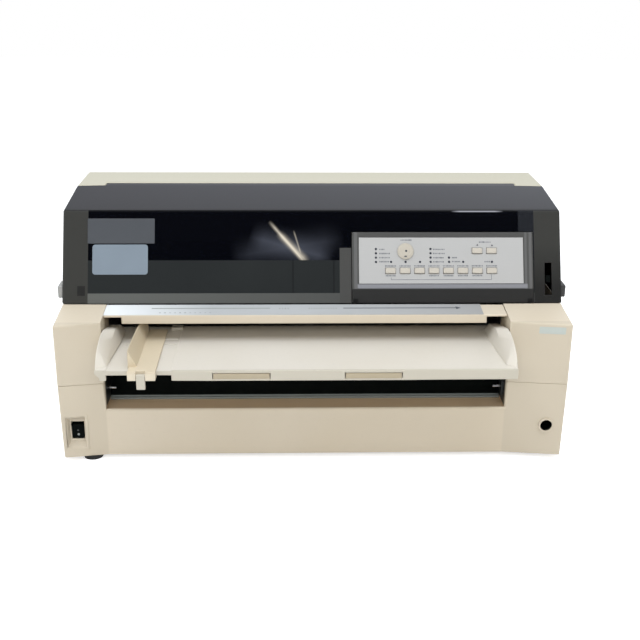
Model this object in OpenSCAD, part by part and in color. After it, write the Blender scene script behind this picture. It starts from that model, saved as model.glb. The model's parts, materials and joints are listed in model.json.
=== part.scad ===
// Wide-carriage dot matrix printer with a front paper table and a hinged, smoked
// front cover. Millimetres, +Z up, the operator stands on the -Y side.
// The origin is on the desk, under the middle of the whole printer.
// Inside the modules Y = 0 is the foremost line of the casing; place() shifts it.

/* [Casing] */
// Width of the casing over its side walls
body_w = 574; // [564:1:584]
// Depth of the casing, without the paper table
body_d = 320; // [315:1:330]
// How far the lower casing narrows towards the desk, at each side
side_draft = 1.6; // [1:0.1:2.4]
// Thickness of the casing walls
wall = 3; // [2.5:0.1:3.2]
// Height of the line where the upper and lower casing meet
seam_h = 94.2; // [92:0.2:98]
// Width of the shadow line between the two casings
seam_gap = 0.4; // [0.2:0.1:0.6]
// Height of the front end of the two side pods over the table
pod_front_h = 30; // [29.5:0.5:32]
// Width of the left pod
left_pod_w = 51; // [50:0.5:52]
// Width of the right pod, which holds the gears
right_pod_w = 68.4; // [68:0.2:69]
// How far the front steps back from the outer corners to the middle
front_slant = 8.5; // [6:0.5:10]
// Height of the low middle panel at the front
apron_h = 62; // [58:1:64]
// Height of the ivory top over the table
top_h = 143; // [142:0.5:146]
// Depth at which the ivory top turns down to the back
top_back_y = 268; // [264:1:272]
// Height of the lower end of the sloping back over the table
back_edge_h = 88; // [82:1:94]
// Height of the rubber feet
foot_h = 5; // [4:0.5:6]
// Radius of the rubber feet
foot_r = 12; // [10:0.5:14]
// Distance of the feet from the casing's sides
foot_x = 32; // [27:1:42]

/* [Smoked cover] */
// Distance of the cover's lower front edge behind the casing front
cover_front_y = 56.5; // [56:0.5:58]
// Height of the cover's lower front edge over the table
cover_low_h = 35.5; // [35:0.5:37]
// Depth of the crease between the cover's face and its sloping top
crease_y = 101.5; // [100:0.5:103]
// Height of that crease over the table
crease_h = 134.2; // [132:0.2:136]
// Depth of the front edge of the ivory arms beside the cover's tongue
arm_y = 191.5; // [189:0.5:193]
// Width of the ivory arms beside the cover's tongue
arm_w = 34; // [33:0.5:38]
// Thickness of the cover
cover_t = 2.5; // [2:0.1:3]
// Gap between the cover and what surrounds it
cover_gap = 0.6; // [0.4:0.1:0.8]
// Radius of the rounded hinge edge at the back of the tongue
hinge_r = 5; // [4.5:0.1:5.5]
// Radius of the cover's hinge pins
hinge_pin_r = 2; // [1.5:0.1:2.5]
// How far the finger tabs stand out at the cover's sides
tab_reach = 6; // [4:0.5:8]

/* [Operator panel] */
// Distance of the panel housing from the casing's right side
panel_x = 32.5; // [31:0.5:34]
// Width of the panel housing
panel_w = 210; // [208:1:212]
// Length of the panel housing up the cover's face
panel_h = 82; // [80:1:84]
// Depth of the panel housing behind the cover's face
panel_depth = 18; // [16.5:0.5:19]
// How far the bezel stands in front of the cover's face
bezel_proud = 1.2; // [0.8:0.1:1.6]
// Distance of the silver overlay from the housing's left edge
overlay_x = 8; // [6.5:0.5:9.5]
// Width of the silver overlay
overlay_w = 190.5; // [188:0.5:192]
// Lower edge of the silver overlay, up the face
overlay_s = 23.2; // [22:0.2:24]
// Height of the silver overlay
overlay_h = 53.4; // [52:0.2:55]
// Thickness of the silver overlay
overlay_t = 0.5; // [0.4:0.1:0.7]
// Width of a key
key_w = 11.6; // [10:0.2:12.4]
// Height of a key
key_h = 6.4; // [5.6:0.2:7.2]
// How far a key stands out of the overlay
key_proud = 1.8; // [1.4:0.1:2.4]
// Distance from one key to the next
key_pitch = 16.75; // [16:0.25:17]
// Place of the first key, from the housing's left edge
key_x = 44.4; // [42.6:0.1:46.6]
// Place of the lower row of keys, up the face
key_row_s = 38; // [37:0.5:39.5]
// Place of the two upper keys, up the face
key_upper_s = 61.2; // [60.6:0.2:64]
// Radius of the mode dial
dial_r = 9.5; // [8.6:0.1:9.8]
// How far the mode dial stands out
dial_proud = 2.4; // [1.8:0.1:3]
// Radius of the indicator lamps
lamp_r = 1.1; // [0.8:0.1:1.3]

/* [Paper table] */
// How far the table reaches out in front of the casing
table_reach = 54; // [50:1:57]
// Height of the table's top face
table_h = 136; // [136:0.1:137]
// Depth of the table's back edge
table_back_y = 80; // [78:1:80.5]
// Thickness of the table's plate
table_t = 3.5; // [3:0.1:4]
// Height of the table's front lip
lip_h = 11.8; // [11.2:0.1:12.4]
// Distance of the sunk lane for the sheet guide from the left pod
lane_x = 14; // [13:0.5:15]
// Width of the lane
lane_w = 69; // [68:0.5:70]
// Depth of the lane
lane_deep = 1; // [0.8:0.1:1.4]
// Height of the two side fins over the table
fin_h = 22.5; // [21:0.5:24]
// Width of a side fin at its foot
fin_w = 16.5; // [14:0.5:18]
// Width of a pull-out sheet support
support_w = 60; // [56:0.5:62]
// Length of a pull-out sheet support
support_len = 94; // [90:1:98]
// Left edge of the left sheet support
support_left_x = -109; // [-112:0.5:-106]
// Left edge of the right sheet support
support_right_x = 31.9; // [30:0.5:34]

/* [Sheet guide] */
// Distance of the foot of the guide's fence from the left pod
fence_x = 46; // [45:0.5:47]
// Height of the fence over the table
fence_h = 19; // [17:0.5:20]
// Width of the fence at its front end
fence_w = 9.5; // [8:0.5:10]
// Thickness of the guide's mouldings
guide_t = 2; // [1.6:0.1:2.2]
// Width of the guide's foot
guide_w = 31; // [30:0.5:33]
// Length of the lock lever
lock_len = 18.5; // [16:0.5:20]
// Width of the lock lever
lock_w = 9.2; // [8:0.2:10.4]

/* [Front bar] */
// Depth of the bar's front face
bar_y = 28.5; // [27:0.5:30]
// Height of the bar's front lip
bar_lip_h = 11; // [9:0.5:12]
// Length of the plain stretch at the bar's right end
bar_plain_w = 27; // [24:0.5:30]
// Width of the opening beside each end of the lip
bar_notch_w = 20; // [16:0.5:23]

/* [Mechanism] */
// Thickness of the steel side frames
frame_t = 2; // [1.6:0.1:2.2]
// Radius of the platen
platen_r = 17; // [16.5:0.1:17.2]
// Depth of the platen's axis
platen_y = 148; // [147:0.5:149]
// Radius of the platen's and the feed rollers' shafts
shaft_r = 4; // [3.5:0.1:4.4]
// Radius of the carriage shaft
rod_r = 6; // [5.5:0.1:6.5]
// Depth of the carriage shaft
rod_y = 112; // [111:0.5:113]
// Height of the carriage shaft over the table
rod_h = 46; // [45:0.5:47]
// Radius of the feed rollers
feed_r = 16; // [15.5:0.1:16.2]
// Number of feed rollers
feed_n = 10; // [6:1:12]
// Teeth of the gear on the platen
platen_teeth = 60; // [60]
// Teeth of the gear on the feed roller shaft
feed_teeth = 57; // [57]
// Teeth of the motor's pinion
pinion_teeth = 15; // [15]
// Module of the gears
gear_m = 1; // [1]
// Width of the gears
gear_w = 6; // [4:0.5:7]
// Radius of the belt pulleys
pulley_r = 10; // [9.5:0.1:10.4]
// Running clearance round turning and sliding shafts
run_fit = 0.05; // [0.03:0.01:0.08]
// Parked place of the carriage, from the left pod
carriage_x = 126; // [110:1:140]
// Side of the square front of both motors
motor_w = 42; // [40:0.5:43]
// Length of the line feed motor
feed_motor_len = 36; // [32:0.5:38]
// Length of the carriage motor
carriage_motor_len = 38; // [34:0.5:40]
// Side of the square tractor shaft
square_w = 8; // [7:0.2:8.4]
// Width of a tractor
tractor_w = 22; // [18:0.5:26]

/* [Power] */
// Width of the power rocker
rocker_w = 13.2; // [12:0.1:14]
// Height of the power rocker
rocker_h = 18.4; // [17:0.2:20]
// Tilt of the rocker to either side
rocker_tilt = 6; // [4:0.5:7]
// Radius of the round hole in the right pod
port_r = 6.8; // [5.5:0.1:7.2]

/* [Hidden] */
$fn = 64;

// colours
ivory = [0.84, 0.81, 0.74];
ivory_low = [0.79, 0.75, 0.67];
ivory_light = [0.88, 0.87, 0.82];
smoke = [0.16, 0.17, 0.18];
dark = [0.33, 0.33, 0.33];
black = [0.09, 0.09, 0.09];
steel = [0.68, 0.70, 0.72];
zinc = [0.72, 0.73, 0.70];
green = [0.13, 0.36, 0.22];
tan = [0.76, 0.72, 0.62];

// casing
half_w = body_w / 2;
pod_front_z = table_h + pod_front_h;
cover_low_z = table_h + cover_low_h;
crease_z = table_h + crease_h;
top_z = table_h + top_h;
back_edge_z = table_h + back_edge_h;
floor_h = foot_h + wall;
left_in = left_pod_w - half_w;
right_in = half_w - right_pod_w;
pod_back_y = cover_front_y + 5;
tray_h = apron_h - 2;
tray_back_y = 47;
slit = 0.3;                       // clearance of parts that only sit in place
lock_reach = 8;                   // the lock lever in front of the table's lip
mid_y = (body_d - table_reach - lock_reach) / 2;
boss_r = 6;
screw_r = 2;
screw_head_r = 3.8;
screw_head_t = 2.6;
screw_seat_h = seam_h - 17;
screw_grip = 13;
boss_x = half_w - 15;
boss_ys = [90, body_d - 20];
foot_mid_x = half_w - foot_x;
// the right front foot stands further back than the left one
foot_places = [[-foot_mid_x, 16], [foot_mid_x, 30], [-foot_mid_x, body_d - 46], [foot_mid_x, body_d - 46]];

// cover
tongue_half = half_w - arm_w;
face_angle = atan2(crease_z - cover_low_z, crease_y - cover_front_y);
face_len = norm([crease_y - cover_front_y, crease_z - cover_low_z]);
cover_back_y = arm_y - 2 * cover_gap;    // room for the corner that swings past the arm
slope_angle = atan2(top_z - crease_z, cover_back_y - crease_y);
hinge_y = arm_y + 10.5;
hinge_h = top_z - hinge_r;
tongue_y = hinge_y + hinge_r + cover_gap;
tab_y = crease_y - 34.5;
tab_len = 22;
tab_low_h = cover_low_z + 4;
tab_h = 14;
lever_slot_x = half_w - 19;
lever_slot_w = 8;
lever_slot_s = [9.9, 47.3];

// operator panel
panel_left = half_w - panel_x - panel_w;
overlay_left = panel_left + overlay_x;
key_left = panel_left + key_x;
panel_s = 0.9;
housing_t = 2.5;
overlay_n = bezel_proud - 0.9;
overlay_top_n = overlay_n + overlay_t;
board_n = -13.4;
board_t = 1.6;
key_gap = 0.4;
key_flange_n = -6;
key_travel = 1.2;
dial_x = panel_left + 61.8;
dial_s = 60.5;
dial_stem_r = 3;
lamp_step = 5;
lamp_low_s = 48.3;
// distance of each column of lamps from the housing's left edge, and how many it holds
lamp_columns = [[27.7, 4], [45.1, 1], [61.9, 1], [78.7, 1], [90.9, 4], [112.3, 2], [128.7, 1], [162, 1]];

// paper table
table_x0 = left_in + 2;
table_x1 = right_in - 2;
lane_left = left_in + lane_x;
fence_foot_x = left_in + fence_x;
lip_corner = 8;                   // chamfer at the left end of the lip
runner_inset = 5;
runner_h = table_h - 11.8;
runner_t = 2.8;
lane_end_x = lane_left + lane_w;
lane_floor_h = table_h - lane_deep;
lip_low_h = table_h - lip_h;
support_t = 6.4;
support_gap = 0.8;                // seam beside a sheet support
support_low_h = table_h - table_t - support_t - slit;
guide_foot_h = lane_floor_h + slit;
guide_y0 = 8 - table_reach;
guide_y1 = 66;
hook_y = -table_reach - 0.4;
lock_x = fence_foot_x + 0.8;
lock_gap = 0.4;
hook_low_h = table_h - 8.5;

// front bar
bar_top_drop = 0.8;
bar_plate_t = 2.6;
bar_web_y = cover_front_y - 3.2;
bar_ledge_h = table_h + 21;
bar_ledge_y = 76;
bar_lip_x = [left_in + bar_notch_w, right_in - bar_notch_w - 3];
housing_foot_x = [panel_left + 15.5, panel_left + 125.5];
housing_foot_w = 30;

// mechanism
rod_z = table_h + rod_h;
carriage_mid_x = left_in + carriage_x;
frame_left_x = left_in - 8;
frame_right_x = right_in + 6.4;
frame_y0 = pod_back_y + 4.5;
frame_y1 = body_d - 28;
frame_top_h = rod_z + 23;
platen_h = table_h - 1 - platen_r;
gear_x = frame_right_x + frame_t + 2;
gear_r = gear_m * platen_teeth / 2;
feed_gear_r = gear_m * feed_teeth / 2;
pinion_r = gear_m * pinion_teeth / 2;
backlash = 0.12;
feed_h = table_h + 0.6 + feed_r;
feed_reach = gear_r + feed_gear_r + 0.1;
feed_y = platen_y - sqrt(pow(feed_reach, 2) - pow(feed_h - platen_h, 2));
feed_angle = atan2(feed_h - platen_h, feed_y - platen_y);
pinion_angle = -45;
pinion_y = platen_y + (gear_r + pinion_r + 0.1) * cos(pinion_angle);
pinion_h = platen_h + (gear_r + pinion_r + 0.1) * sin(pinion_angle);
motor_shaft_r = 2.5;
motor_boss_r = 11;
motor_x = gear_x + gear_w + 5;
post_r = 3;
rail_y = platen_y + 49;
rail_t = 2;
rail_low_h = rod_z - 32;
belt_y = rail_y - 9;
belt_w = 6;
belt_t = 1.4;
belt_gap = 0.3;
belt_in_r = pulley_r + belt_gap;
belt_out_r = belt_in_r + belt_t;
pulley_h = rod_z - 2;
pulley_left_x = frame_left_x + 29;
flange_r = pulley_r + 2;
grip_hole_r = 1.3;
grip_hole_at = 6.4;
pulley_right_x = frame_right_x - 25;
idler_pin_r = 3;
carriage_half = 42;
jaw_half = 10;
carriage_low_h = rod_z - 10;
carriage_top_h = rod_z + 10;
head_y = platen_y;
head_w = 33;
head_low_h = rod_z - 21;
head_h = 54;
nose_w = 10;
nose_deep = 16;
nose_h = 25;
head_fins = 6;
head_fin_pitch = 5.2;
head_fin_gap = 3;
head_fin_h = 18;
flange_size = [48, 44];
head_well = 17;
flange_t = 3;
cartridge_half = 62;
cartridge_h = 16;
cartridge_y = [rod_y - 6, rod_y + 74];
knob_x = carriage_mid_x + 46;
knob_y = rod_y + 63;
knob_stem_r = 3;
lever_y = platen_y - 8;
lever_h = rod_z - 12;
lever_pin_r = 3;
lever_t = 5;
lever_hub_r = 8;
lever_w = 8;
tractor_y = rail_y + 58;
drive_y = tractor_y + 24;
tractor_h = table_h + 16;
tractor_r = 14;
journal_r = 5;
tractor_left_x = left_in + 46;
tractor_right_x = right_in - 88.6;
board_h = floor_h + 6;
board_x = [left_in + 136, right_in - 8.6];
board_y = [95, body_d - 20];
board_len = board_x[1] - board_x[0];
board_plate_t = 1.6;

// power parts
rocker_x = left_in - 33.85;
rocker_mid_h = foot_h + 30.3;
rocker_pin_y = 20;
rocker_pin_r = 1.5;
pocket = [left_in - 45.7, left_in - 22.3];
pocket_h = [foot_h + 11.3, foot_h + 50];
pocket_deep = 9.7;
pocket_lean = [3.5, 6.4];         // slant of the recess' walls, across and up
rocker_play = 1.3;
port_x = right_in + 48.1;
port_h = foot_h + 37.2;
inlet_x = left_in + 45;
inlet_w = 28;
inlet_h = 20;
inlet_mid_h = foot_h + 29;
socket_x = board_x[0] + 180;
socket_w = 58;
socket_deep = 12;
socket_h = [board_h + board_plate_t, board_h + board_plate_t + 12];
plug_pins = [[-6, 1], [0, -2.5], [6, 1]];
supply_x = [left_in, left_in + 116];
supply_y = [body_d - 114, body_d - 26];
supply_h = 55;
supply_plate_t = 1.2;
supply_slots = 10;
supply_slot_w = 5;
supply_slot_pitch = 10.6;
vent_slots = 14;
vent_slot_w = 3;
vent_pitch = 8;
vent_x = left_in + 4;
vent_h = [seam_h - 34, seam_h - 12];

// what stands on the main board, from the board's front left corner
sink_at = [40, 25];
sink_size = [120, 26];
sink_fin_t = 1.6;
sink_fin_pitch = 4;
sink_h = 20;
chip_w = 26;
chip_h = 3;
chip_xs = [30, 70, 110, board_len - 110];
chip_y = 80;
can_r = 8;
can_h = 22;
can_xs = [board_len - 90, board_len - 65, board_len - 40];
can_y = 145;
plug_size = [34, 6, 8];
plug_xs = [20, 80, 140, board_len - 60];
plug_y = 10;

// ---- helpers -------------------------------------------------------------

module place() {
    translate([0, -mid_y, 0]) children();
}

module block(x0, x1, y0, y1, z0, z1) {
    translate([x0, y0, z0]) cube([x1 - x0, y1 - y0, z1 - z0]);
}

// outline in the YZ plane, drawn out along X
module x_prism(x0, x1, points) {
    translate([x0, 0, 0]) rotate([90, 0, 90]) linear_extrude(x1 - x0) polygon(points);
}

// outline in the XZ plane, drawn out along Y
module y_prism(y0, y1, points) {
    translate([0, y1, 0]) rotate([90, 0, 0]) linear_extrude(y1 - y0) polygon(points);
}

module x_rod(x0, x1, y, z, r) {
    translate([x0, y, z]) rotate([0, 90, 0]) cylinder(h = x1 - x0, r = r);
}

module y_rod(y0, y1, x, z, r) {
    translate([x, y0, z]) rotate([-90, 0, 0]) cylinder(h = y1 - y0, r = r);
}

// the cover's face: x across, s up the face from its lower edge, n out of the face
module face_block(x0, x1, s0, s1, n0, n1) {
    on_face() block(x0, x1, s0, s1, n0, n1);
}

module on_face() {
    translate([0, cover_front_y, cover_low_z]) rotate([face_angle, 0, 0]) children();
}

function face_pt(s, n) = [
    cover_front_y + s * cos(face_angle) - n * sin(face_angle),
    cover_low_z + s * sin(face_angle) + n * cos(face_angle)];

// the sloping back: s down the slope from the top edge, n out of it
back_angle = atan2(back_edge_z - top_z, body_d - top_back_y);
back_len = norm([body_d - top_back_y, top_z - back_edge_z]);
flap_half = 230;
flap_s = [4.3, back_len - 8];
flap_barrel_r = 3.3;
flap_axis_s = flap_s[0] + 0.4 + flap_barrel_r;
flap_axis_n = -flap_barrel_r - 0.1;
flap_pin_r = 1.6;

module on_back() {
    translate([0, top_back_y, top_z]) rotate([back_angle, 0, 0]) children();
}

// plan of the casing, moved inwards by i
function plan(i) = [
    [i - half_w, i], [left_in, front_slant + i], [right_in, front_slant + i],
    [half_w - i, i], [half_w - i, body_d - i], [i - half_w, body_d - i]];

// height of the plane over the pods and the front bar
function deck_h(y) = pod_front_z + (cover_low_z - pod_front_z) * y / cover_front_y;

module each_boss() {
    for (x = [-boss_x, boss_x], y = boss_ys) translate([x, y, 0]) children();
}

// involute spur gear round the local Z axis, with a tooth centred on local +X
function involute(base_r, t) = base_r * [
    cos(t) + t * PI / 180 * sin(t),
    sin(t) - t * PI / 180 * cos(t)];
function turned(p, a) = [p[0] * cos(a) - p[1] * sin(a), p[0] * sin(a) + p[1] * cos(a)];
function flank_t(base_r, r) = sqrt(max(0, pow(r / base_r, 2) - 1)) * 180 / PI;

module spur_gear(teeth, width, bore_r) {
    pitch_r = gear_m * teeth / 2;
    base_r = pitch_r * cos(20);
    tip_r = pitch_r + gear_m;
    root_r = pitch_r - 1.25 * gear_m;
    start_t = flank_t(base_r, max(root_r, base_r));
    end_t = flank_t(base_r, tip_r);
    pitch_p = involute(base_r, flank_t(base_r, pitch_r));
    half_tooth = 90 / teeth - backlash * 90 / (PI * pitch_r);
    shift = half_tooth + atan2(pitch_p[1], pitch_p[0]);
    flank = [for (i = [0 : 4]) turned(involute(base_r, start_t + (end_t - start_t) * i / 4), -shift)];
    tooth = concat(
        [turned([root_r, 0], -shift)], flank,
        [for (i = [4 : -1 : 0]) [flank[i][0], -flank[i][1]]],
        [turned([root_r, 0], shift)]);
    difference() {
        linear_extrude(width) polygon([
            for (k = [0 : teeth - 1]) for (p = tooth) turned(p, 360 * k / teeth)]);
        translate([0, 0, -1]) cylinder(h = width + 2, r = bore_r);
    }
}

// a gear whose axis lies along X; turn is the angle of one tooth in the YZ plane
module x_gear(x, y, z, teeth, bore_r, turn) {
    translate([x, y, z]) rotate([90, 0, 90]) rotate([0, 0, turn]) spur_gear(teeth, gear_w, bore_r);
}

// ---- casing ----------------------------------------------------------------

// what lies between the two side walls of the lower casing, moved inwards by i
module between_sides(i) {
    y_prism(-1, body_d + 1, [
        [side_draft + i - half_w, foot_h - 1], [half_w - side_draft - i, foot_h - 1],
        [half_w - i, seam_h], [half_w - i, seam_h + 1], [i - half_w, seam_h + 1], [i - half_w, seam_h]]);
}

// front of the left pod, which slants back towards the middle
function pod_front_y(x) = front_slant * (half_w + x) / left_pod_w;

// recess round the power rocker, narrower at its bottom
module rocker_recess() hull() {
    translate([0, 0, pocket_h[0]]) linear_extrude(pocket_h[1] - pocket_h[0]) polygon([
        [pocket[0], pod_front_y(pocket[0]) - 0.5], [pocket[1], pod_front_y(pocket[1]) - 0.5],
        [pocket[1], pod_front_y(pocket[1])], [pocket[0], pod_front_y(pocket[0])]]);
    block(pocket[0] + pocket_lean[0], pocket[1] - pocket_lean[0], pocket_deep - 0.5, pocket_deep,
        pocket_h[0] + pocket_lean[1], pocket_h[1] - pocket_lean[1]);
}

module lower_case() color(ivory_low) place() difference() {
    union() {
        difference() {
            intersection() {
                translate([0, 0, foot_h]) linear_extrude(seam_h - seam_gap - foot_h) polygon(plan(0));
                between_sides(0);
            }
            intersection() {
                translate([0, 0, floor_h]) linear_extrude(seam_h) polygon(plan(wall));
                between_sides(wall);
            }
        }
        // inner walls of the pods
        for (x = [left_in - wall, right_in])
            block(x, x + wall, front_slant + 1, pod_back_y, foot_h, seam_h - seam_gap);
        // tray behind the low middle panel
        block(left_in - 1, right_in + 1, front_slant + 1, tray_back_y, tray_h - wall, tray_h);
        // small bracket on the slot's right wall
        block(right_in - 2.6, right_in + 1, 22, 34, tray_h + 12, tray_h + 30);
        each_boss() translate([0, 0, foot_h]) cylinder(h = seam_h - seam_gap - foot_h, r = boss_r);
        // stand-offs under the main board
        for (x = [board_x[0] + 10, board_x[1] - 10], y = [board_y[0] + 10, board_y[1] - 10])
            translate([x, y, floor_h]) cylinder(h = board_h - floor_h, r = 3.5);
        // pocket round the power rocker
        block(pocket[0] - 1.5, pocket[1] + 2, 4, pocket_deep + 3, pocket_h[0] - 2, pocket_h[1] + 2);
        // cheeks that carry the rocker's stub pins
        for (side = [-1, 1]) translate([rocker_x + side * (rocker_w / 2 + 2.1), 0, 0])
            block(-1.4, 1.4, pocket_deep + 2, rocker_pin_y + 4, rocker_mid_h - 5, rocker_mid_h + 5);
        // short tube behind the round hole
        y_rod(1, 20, port_x, port_h, port_r + 2);
    }
    // mouth of the lower paper slot
    block(left_in, right_in, -1, front_slant + wall + 1, apron_h, seam_h);
    rocker_recess();
    block(rocker_x - rocker_w / 2 - 0.5, rocker_x + rocker_w / 2 + 0.5, pocket_deep - 1, pocket_deep + 4,
        rocker_mid_h - rocker_h / 2 - rocker_play, rocker_mid_h + rocker_h / 2 + rocker_play);
    x_rod(rocker_x - rocker_w, rocker_x + rocker_w, rocker_pin_y, rocker_mid_h, rocker_pin_r + run_fit);
    y_rod(-1, 21, port_x, port_h, port_r);
    // screws come up through the floor
    each_boss() translate([0, 0, foot_h - 1]) {
        cylinder(h = screw_seat_h - foot_h + 1, r = screw_head_r + 0.4);
        cylinder(h = seam_h, r = screw_r + 0.2);
    }
    // bores of the tractor studs
    for (x = [left_in - 10, right_in - 10]) x_rod(x, x + 20, stud_y, stud_h, stud_r + run_fit);
    // openings in the back wall
    block(inlet_x - inlet_w / 2 - slit, inlet_x + inlet_w / 2 + slit, body_d - 5, body_d + 1,
        inlet_mid_h - inlet_h / 2 - slit, inlet_mid_h + inlet_h / 2 + slit);
    block(socket_x - socket_w / 2 - slit, socket_x + socket_w / 2 + slit, body_d - 5, body_d + 1,
        socket_h[0] - slit, socket_h[1] + slit);
    // air slots over the power supply
    for (i = [0 : vent_slots - 1]) translate([vent_x + i * vent_pitch, 0, 0])
        block(0, vent_slot_w, body_d - wall - 2, body_d + 1, vent_h[0], vent_h[1]);
}
stud_y = 30;
stud_h = tray_h + 20;
stud_r = 1.6;

upper_outline = [
    [-1, seam_h], [-1, deck_h(-1)], [cover_front_y, cover_low_z], [arm_y, cover_low_z],
    [arm_y, top_z], [top_back_y, top_z], [body_d, back_edge_z], [body_d, seam_h]];
back_fold = wall * tan(-back_angle / 2);
upper_hollow = [
    [-1, seam_h - 1], [-1, deck_h(-1) - wall], [cover_front_y, cover_low_z - wall],
    [cover_front_y, cover_low_z + 1], [arm_y - 1, cover_low_z + 1], [arm_y - 1, top_z - wall],
    [top_back_y - back_fold, top_z - wall],
    [body_d - wall, back_edge_z - wall * tan(45 + back_angle / 2)], [body_d - wall, seam_h - 1]];
arm_in = tongue_half + cover_gap;

module upper_case() color(ivory) place() difference() {
    union() {
        difference() {
            intersection() {
                translate([0, 0, seam_h]) linear_extrude(top_z) polygon(plan(0));
                x_prism(-half_w, half_w, upper_outline);
            }
            intersection() {
                translate([0, 0, seam_h - 1]) linear_extrude(top_z) polygon(plan(wall));
                x_prism(-half_w, half_w, upper_hollow);
            }
            // open between the pods
            block(left_in, right_in, -1, cover_front_y + 1, seam_h - 1, top_z);
            // room for the cover's tongue
            block(-arm_in, arm_in, arm_y - 1, tongue_y, hinge_h - 30, top_z + 1);
            on_back() block(-flap_half, flap_half, flap_s[0], flap_s[1], -wall - 6, 1);
        }
        // inner walls of the pods, with the ribs that hold the table's runners
        for (x = [left_in - wall, right_in]) x_prism(x, x + wall, [
            [front_slant + 1, seam_h], [front_slant + 1, deck_h(front_slant) - 1],
            [cover_front_y, cover_low_z - 1], [pod_back_y, cover_low_z - 6], [pod_back_y, seam_h]]);
        for (x = [left_in - 1, right_in - runner_inset]) for (z = [runner_h - 4, runner_h + runner_t + slit])
            block(x, x + runner_inset + 1, 12, pod_back_y, z, z + 4 - slit);
        // ears that hold the cover's hinge pins
        for (side = [-1, 1]) translate([side * (arm_in + 4), 0, 0]) {
            block(-4, 4, arm_y, hinge_y + 12, hinge_h - 10, top_z - wall + 0.5);
        }
        each_boss() translate([0, 0, seam_h]) cylinder(h = screw_grip + 4, r = boss_r);
        for (x = [wall / 2 - half_w, boss_x], y = boss_ys)
            block(x, x + half_w - boss_x - wall / 2, y - 1.5, y + 1.5, seam_h, seam_h + screw_grip + 4);
        // lugs under the back slope for the flap's pins
        for (side = [-1, 1]) translate([side * (flap_half + 3), 0, 0])
            on_back() block(-2.6, 2.6, flap_s[0], flap_axis_s + 5, flap_axis_n - 5, -1);
    }
    for (side = [-1, 1])
        x_rod(side * (arm_in + 4) - 6, side * (arm_in + 4) + 6, hinge_y, hinge_h, hinge_pin_r + 0.02);
    each_boss() translate([0, 0, seam_h - 1]) cylinder(h = screw_grip + 1, r = screw_r + 0.03);
    on_back() x_rod(-flap_half - 5.2, flap_half + 5.2, flap_axis_s, flap_axis_n, flap_pin_r + run_fit);
}

module rear_flap() color(ivory) place() on_back() {
    block(-flap_half + 0.6, flap_half - 0.6, flap_axis_s, flap_s[1] - 0.6, -2.7, -0.1);
    x_rod(-flap_half + 0.6, flap_half - 0.6, flap_axis_s, flap_axis_n, flap_barrel_r);
    x_rod(-flap_half - 4.6, flap_half + 4.6, flap_axis_s, flap_axis_n, flap_pin_r);
}

module rubber_feet() color(black) place() for (p = foot_places)
    translate([p[0], p[1], 0]) cylinder(h = foot_h, r1 = foot_r - 1, r2 = foot_r);

module case_screws() color(zinc) place() each_boss() {
    translate([0, 0, screw_seat_h - screw_head_t]) difference() {
        cylinder(h = screw_head_t, r = screw_head_r);
        for (a = [0, 90]) rotate([0, 0, a]) block(-2.4, 2.4, -0.5, 0.5, -1, 1.2);
    }
    translate([0, 0, screw_seat_h]) cylinder(h = seam_h + screw_grip - 1 - screw_seat_h, r = screw_r);
}

// ---- smoked cover ----------------------------------------------------------

cover_low = face_pt(cover_gap, 0);
cover_outline = [
    cover_low, face_pt(face_len, 0), [cover_back_y, top_z], [cover_back_y, cover_low[1]]];
cover_hollow = [
    face_pt(-4, -cover_t), face_pt(face_len - cover_t * tan((face_angle - slope_angle) / 2), -cover_t),
    [cover_back_y, top_z - cover_t], [arm_y, top_z - cover_t], [arm_y, cover_low_z - 5]];

module front_cover() color(smoke) place() difference() {
    union() {
        difference() {
            x_prism(-half_w, half_w, cover_outline);
            x_prism(-half_w + cover_t, half_w - cover_t, cover_hollow);
        }
        x_prism(-tongue_half, tongue_half, [
            [cover_back_y - 1, top_z - cover_t], [cover_back_y, top_z],
            [hinge_y, top_z], [hinge_y, top_z - cover_t]]);
        x_rod(-tongue_half, tongue_half, hinge_y, hinge_h, hinge_r);
    }
    for (side = [-1, 1]) x_rod(side * tongue_half - 10, side * tongue_half + 10,
        hinge_y, hinge_h, hinge_pin_r + run_fit);
    // the cover opens round the fixed operator panel
    face_block(panel_left - cover_gap, panel_left + panel_w + cover_gap,
        -5, panel_s + panel_h + cover_gap, -20, 5);
    face_block(lever_slot_x, lever_slot_x + lever_slot_w, lever_slot_s[0], lever_slot_s[1], -20, 5);
}

module cover_hinge_pins() color(steel) place() for (side = [-1, 1])
    x_rod(side * arm_in - 8, side * arm_in + 8, hinge_y, hinge_h, hinge_pin_r);

module cover_lift_tabs() color(dark) place() for (side = [-1, 1])
    translate([side * (half_w + tab_reach / 2), tab_y + tab_len / 2, tab_low_h + tab_h / 2]) difference() {
        cube([tab_reach, tab_len, tab_h], center = true);
        // finger scoop under the tab
        translate([0, 0, -tab_h / 2]) cube([tab_reach - 3, tab_len - 5, tab_h - 5], center = true);
    }

// ---- operator panel ----------------------------------------------------------

function key_place(i) = key_left + i * key_pitch;

module key_holes(n0, n1) {
    for (i = [0 : 7]) key_hole(key_place(i), key_row_s, n0, n1);
    for (i = [6, 7]) key_hole(key_place(i), key_upper_s, n0, n1);
}

module key_hole(x, s, n0, n1) {
    translate([x, s, 0]) block(-key_w / 2 - key_gap, key_w / 2 + key_gap,
        -key_h / 2 - key_gap, key_h / 2 + key_gap, n0, n1);
}

module each_lamp() {
    for (c = lamp_columns, k = [0 : c[1] - 1])
        translate([panel_left + c[0], lamp_low_s + k * lamp_step, 0]) children();
}

module panel_openings() {
    key_holes(-20, 5);
    each_lamp() translate([0, 0, -20]) cylinder(h = 30, r = lamp_r + 0.3, $fn = 24);
    translate([dial_x, dial_s, -20]) cylinder(h = 30, r = dial_stem_r + run_fit);
}

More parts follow.
